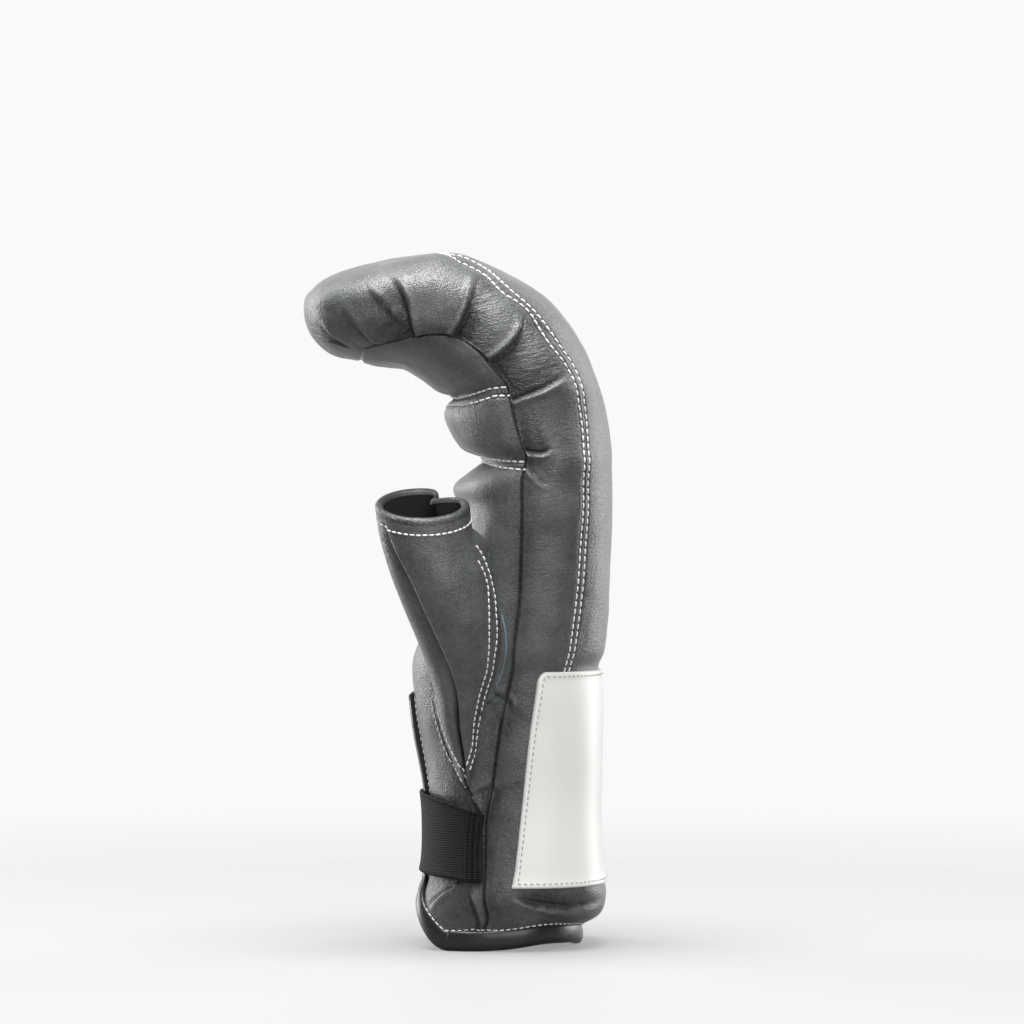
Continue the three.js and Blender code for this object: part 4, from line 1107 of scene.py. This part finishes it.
# White coated leather is smooth and evenly bright, with a soft sheen and faint waves from the hide below.
hide_waves = {"Scale": 1 / (6 * MM), "Detail": 5.0}
white_leather, _ = embossed(
    "white_coated_leather", "#e6e6e3", 0.38, "ShaderNodeTexNoise", hide_waves, 0.35, 0.25 * MM
)


def patch_point(up, share, out):
    """A point on the patch: up from its lower edge, share from its near to its far edge."""
    at = station_at_height(PATCH_BOTTOM + PATCH_HEIGHT * up)
    edge = angle_at_way(PATCH_EDGE_LOW + (PATCH_EDGE_HIGH - PATCH_EDGE_LOW) * up**1.3)
    to_top = (1 - up) * PATCH_HEIGHT
    corner = np.clip(1 - to_top / PATCH_CORNER, 0, 1)
    cut = PATCH_CORNER * (1 - np.sqrt(1 - corner**2)) / (HAND_WIDTH / 2)
    edge = edge + cut
    around = edge + (2 * math.pi - 2 * edge) * share
    return outside(at, around, out)


# The grid is closer at the edges, where the patch is rounded.
patch_ups = np.concatenate(([0, 0.002, 0.006], np.linspace(0.012, 0.988, 120), [0.994, 0.998, 1]))
patch_shares = np.concatenate(([0, 0.001, 0.003], np.linspace(0.006, 0.994, 170), [0.997, 0.999, 1]))
ups, across = np.meshgrid(patch_ups, patch_shares, indexing="ij")
to_side = np.minimum(across, 1 - across) * PATCH_GIRTH
to_border = np.minimum(np.minimum(ups, 1 - ups) * PATCH_HEIGHT, to_side)
rounded = np.sqrt(1 - (1 - np.clip(to_border / PATCH_ROUND, 0, 1)) ** 2)
patch_out = -PATCH_SUNK + (PATCH_THICKNESS + PATCH_RISE) * rounded
patch_grid = patch_point(ups, across, 0.0)
patch_out = patch_out + roughness_of_form(patch_grid, *PATCH_UNEVENNESS)
patch_grid = patch_point(ups, across, patch_out)
patch_quads = quads_of(*patch_grid.shape[:2], closed=False).reshape(-1, 4)
patch = skin("white_wrist_patch", patch_grid, patch_quads, (white_leather,))
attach(patch, "root")
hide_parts("wrist_patch")


# The stitching is thick white waxed thread, in rows of straight stitches that sink into the leather at
# their ends. The palm seams are sewn with black thread.
STITCH_PITCH = 2.9 * MM
STITCH_LENGTH = 2.5 * MM
THREAD = 0.8 * MM

# Waxed thread is thick and bright on the leather, with a soft sheen. The black thread only darkens the seams.
white_thread, _ = new_material("waxed_white_thread", "#e9e9e6", 0.55)
black_thread, _ = new_material("waxed_black_thread", "#141415", 0.5)


def evenly(path, normals, pitch):
    """Places a pitch apart along a path, with the direction and normal there."""
    run = run_along(path)
    count = max(1, int(run[-1] / pitch))
    at = (np.arange(count) + 0.5) * run[-1] / count
    along = unit(at_lengths(at + pitch / 3, run, path) - at_lengths(at - pitch / 3, run, path))
    normal = at_lengths(at, run, normals)
    normal -= along * np.einsum("ij,ij->i", normal, along)[:, None]
    return at_lengths(at, run, path), along, unit(normal)


# Rings of a stitch, as their way from its middle to its end and their girth.
STITCH_RINGS = ((-1.0, 0.0), (-0.9, 0.55), (-0.55, 0.95), (0.0, 1.0), (0.55, 0.95), (0.9, 0.55), (1.0, 0.0))
STITCH_SIDES = 6


def stitching(name, rows, thread, pitch=STITCH_PITCH, length=STITCH_LENGTH, width=THREAD):
    """All the stitches of some rows, each row a path with its normals, as one piece."""
    spots = [evenly(path, normals, pitch) for path, normals in rows if len(path) > 1]
    place, along, normal = (np.concatenate(parts) for parts in zip(*spots))
    across = np.cross(normal, along)
    rings = []
    for end, girth in STITCH_RINGS:
        for side in range(STITCH_SIDES):
            a = 2 * math.pi * side / STITCH_SIDES
            lift = width * (0.2 - 0.4 * end**4 + 0.42 * girth * math.sin(a))
            sideways = across * width / 2 * girth * math.cos(a)
            rings.append(place + along * end * length / 2 + sideways + normal * lift)
    points = np.stack(rings, axis=1)
    one = quads_of(len(STITCH_RINGS), STITCH_SIDES, closed=True).reshape(-1, 4)[:, ::-1]
    quads = (np.arange(len(place))[:, None, None] * points.shape[1] + one[None]).reshape(-1, 4)
    piece = skin(name, points, quads, (thread,))
    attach(piece, "root")
    return piece


# Two rows hold the padded back down on the side leather.
pad_rows = [over_the_top(row, mitt_tree) for row in (INNER_ROW, OUTER_ROW)]
stitching("back_topstitching", pad_rows, white_thread)

# The palm's seams, from above the cuff to the curl.
SEAM_SEWN = (0.5, 18)  # first and last section with stitches that show
seam_span = (station > SEAM_SEWN[0]) & (station < SEAM_SEWN[1])
seam_rows = [(leather_surface[seam_span, c], leather_normals[seam_span, c]) for c in seam_columns]
stitching("palm_seam_stitching", seam_rows, black_thread, pitch=2.8 * MM, length=1.7 * MM, width=0.45 * MM)

# Two rows press in each channel of the palm.
channel_rows = [across_palm(row, leather_surface, mitt_tree) for row in CHANNEL_ROWS]
stitching("palm_channel_stitching", channel_rows, white_thread)

# Rows round the sleeve's mouth, down its lap and on the palm's heel, all but the first drawn in the
# picture's pixels.
MOUTH_ROW_AT = 0.52  # way from the sleeve's mouth to its next section
LAP_OUTER_ROW = (
    (475, 544), (483, 556), (490, 575), (495, 597), (497, 633), (496, 645), (492, 673), (483, 702),
    (478, 728), (475, 753), (469, 772),
)
LAP_INNER_ROW = (
    (477, 559), (484, 572), (488, 587), (489, 613), (489, 645), (487, 670), (479, 696), (474, 721),
    (472, 747), (466, 767),
)
HEEL_ROW = ((435, 694), (438, 710), (443, 728), (449, 746), (457, 761), (465, 772), (469, 786))
HEEL_OUTER_ROW = ((431, 697), (434, 713), (439, 733), (445, 751), (453, 766), (461, 777), (467, 790))
glove_grids = (leather_surface, front, inner_panel)
glove_points = np.vstack([grid.reshape(-1, 3) for grid in glove_grids])
front_start = leather_surface.shape[0] * leather_surface.shape[1]
inner_start = front_start + front.shape[0] * front.shape[1]
front_below = front_quads.reshape(-1, 4) + front_start
glove_quads = np.vstack((all_quads.reshape(-1, 4), front_below, kept + inner_start))
glove_tree = tree_of(glove_points, glove_quads)


def drawn_row(pixels, tree, ease):
    """A row drawn in the picture, with its bends eased, laid on the glove."""
    return laid_on(eased(cast(filled_in(pixels, 2), tree), ease), tree)


mouth_degrees = np.linspace(TUCK_TURN - 360 + 12, TUCK_TURN - 12, 200)
mouth_row = laid_on(thumb_point(mouth_degrees * 0 + MOUTH_ROW_AT, mouth_degrees), glove_tree)
lap_rows = [drawn_row(row, glove_tree, 2) for row in (LAP_OUTER_ROW, LAP_INNER_ROW)]
heel_rows = [drawn_row(row, glove_tree, 5) for row in (HEEL_ROW, HEEL_OUTER_ROW)]
thumb_rows = [mouth_row] + lap_rows + heel_rows
stitching("thumb_sleeve_stitching", thumb_rows, white_thread, pitch=2.5 * MM, length=2.1 * MM, width=0.7 * MM)

# One row goes all round above the hem's binding and up both sides of the slit.
HEM_ROW_STATION, SLIT_ROW_TURN = 0.16, 0.0625  # how far in from the edges the rows lie
hem_path = outside(hem_angles * 0 + HEM_ROW_STATION, hem_angles)
hem_path[:, 2] += cuff_wave(hem_path)
row_up = np.linspace(HEM_ROW_STATION, SLIT_STATION - 0.1, 120)
edge_turn = slit_angle(row_up) + SLIT_ROW_TURN
corner_turns = np.linspace(join, edge_turn[0], 30)[:-1]
slit_path_stations = np.concatenate((corner_turns * 0 + HEM_ROW_STATION, row_up))
slit_path_turns = np.concatenate((corner_turns, edge_turn))
slit_paths = [outside(slit_path_stations, side * slit_path_turns % (2 * math.pi)) for side in (1, -1)]
cuff_rows = [laid_on(path, mitt_tree) for path in [hem_path] + slit_paths]
stitching("cuff_topstitching", cuff_rows, white_thread, pitch=2.5 * MM, length=1.9 * MM, width=0.6 * MM)

# One finer row goes round the patch.
PATCH_ROW = 1.9 * MM
patch_row_up = PATCH_ROW / PATCH_HEIGHT
rising = np.linspace(patch_row_up, 1 - patch_row_up, 80)
edge_width = np.linalg.norm(patch_point(rising, 0.01, 0.0) - patch_point(rising, 0.0, 0.0), axis=1) / 0.01
row_shares = PATCH_ROW / edge_width
top_shares = np.linspace(row_shares[-1], 1 - row_shares[-1], 120)
bottom_shares = np.linspace(1 - row_shares[0], row_shares[0], 120)
patch_run_up = (rising, top_shares * 0 + 1 - patch_row_up, rising[::-1], bottom_shares * 0 + patch_row_up)
patch_run_shares = (row_shares, top_shares, 1 - row_shares[::-1], bottom_shares)
patch_run = patch_point(np.concatenate(patch_run_up), np.concatenate(patch_run_shares), PATCH_THICKNESS)
patch_tree = tree_of(patch_grid, patch_quads)
# Fine grey thread, seen as a dotted line on the white.
grey_thread, _ = new_material("pale_grey_thread", "#a9a9a6", 0.6)
patch_row = laid_on(patch_run, patch_tree)
stitching("patch_stitching", [patch_row], grey_thread, pitch=2.4 * MM, length=1.5 * MM, width=0.5 * MM)


# The stage: a pale paper floor that fades into a white studio, with large soft lights at both sides, above
# and in front.
FLOOR_RADIUS, FLOOR_SIDES = 3.0, 64
floor_mesh = bpy.data.meshes.new("floor")
floor_turns = np.linspace(0, 2 * math.pi, FLOOR_SIDES, endpoint=False)
floor_ring = [(FLOOR_RADIUS * math.cos(a), FLOOR_RADIUS * math.sin(a), 0) for a in floor_turns]
floor_mesh.from_pydata(floor_ring, [], [range(FLOOR_SIDES)])
floor = bpy.data.objects.new("floor", floor_mesh)
bpy.context.collection.objects.link(floor)

# Matt paper takes the glove's soft shadow and a faint reflection, and fades out into the white behind it.
paper, paper_shader = new_material("white_paper", "#9b9b9b", 0.6)
paper_place = add(paper, "ShaderNodeTexCoord").outputs["Object"]
paper_reach = add(paper, "ShaderNodeVectorMath", {"operation": "LENGTH"}, {0: paper_place}).outputs["Value"]
fade = {"interpolation_type": "SMOOTHSTEP", "From Min": 0.15, "From Max": 0.95, "To Min": 0.68, "To Max": 0.0}
paper_fade = add(paper, "ShaderNodeMapRange", fade, {"Value": paper_reach})
paper.node_tree.links.new(paper_fade.outputs["Result"], paper_shader.inputs["Alpha"])
floor_mesh.materials.append(paper)

# The studio is bright behind the glove and dim behind the camera and below.
DIM_SIDE, BRIGHT_SIDE = 0.23, 0.95
world = bpy.data.worlds.new("studio")
world.use_nodes = True
background = world.node_tree.nodes["Background"]
background.inputs["Color"].default_value = linear("#ffffff")
toward = add(world, "ShaderNodeTexCoord").outputs["Generated"]
axes = add(world, "ShaderNodeSeparateXYZ", {}, {"Vector": toward}).outputs
span = {"interpolation_type": "SMOOTHSTEP", "From Min": 0.1, "From Max": 0.9}
span.update({"To Min": DIM_SIDE, "To Max": BRIGHT_SIDE})
brightness = add(world, "ShaderNodeMapRange", span, {"Value": axes["Y"]}).outputs["Result"]
span = {"From Min": -0.4, "From Max": -0.12, "To Min": 0.15, "To Max": 1.0}
from_below = add(world, "ShaderNodeMapRange", span, {"Value": axes["Z"]}).outputs["Result"]
strength = add(world, "ShaderNodeMath", {"operation": "MULTIPLY"}, {0: brightness, 1: from_below})
world.node_tree.links.new(strength.outputs[0], background.inputs["Strength"])
bpy.context.scene.world = world
bpy.context.scene.view_settings.view_transform = "Standard"


def soft_box(name, place, size, power):
    """A large area light that faces the glove."""
    light = bpy.data.lights.new(name, "AREA")
    light.shape = "RECTANGLE"
    light.size, light.size_y = size
    light.energy = power
    box = bpy.data.objects.new(name, light)
    box.location = place
    box.rotation_euler = (Vector((0, 0, 0.15)) - Vector(place)).to_track_quat("-Z", "Y").to_euler()
    bpy.context.collection.objects.link(box)


soft_box("left_soft_box", (-1.0, 0.75, 0.45), (0.7, 1.2), 14)
soft_box("right_soft_box", (1.0, 0.75, 0.4), (0.7, 1.2), 9)
soft_box("top_soft_box", (-0.1, -0.15, 1.3), (0.8, 0.8), 34)
soft_box("front_soft_box", (0.4, -1.4, 0.7), (1.0, 1.0), 11)
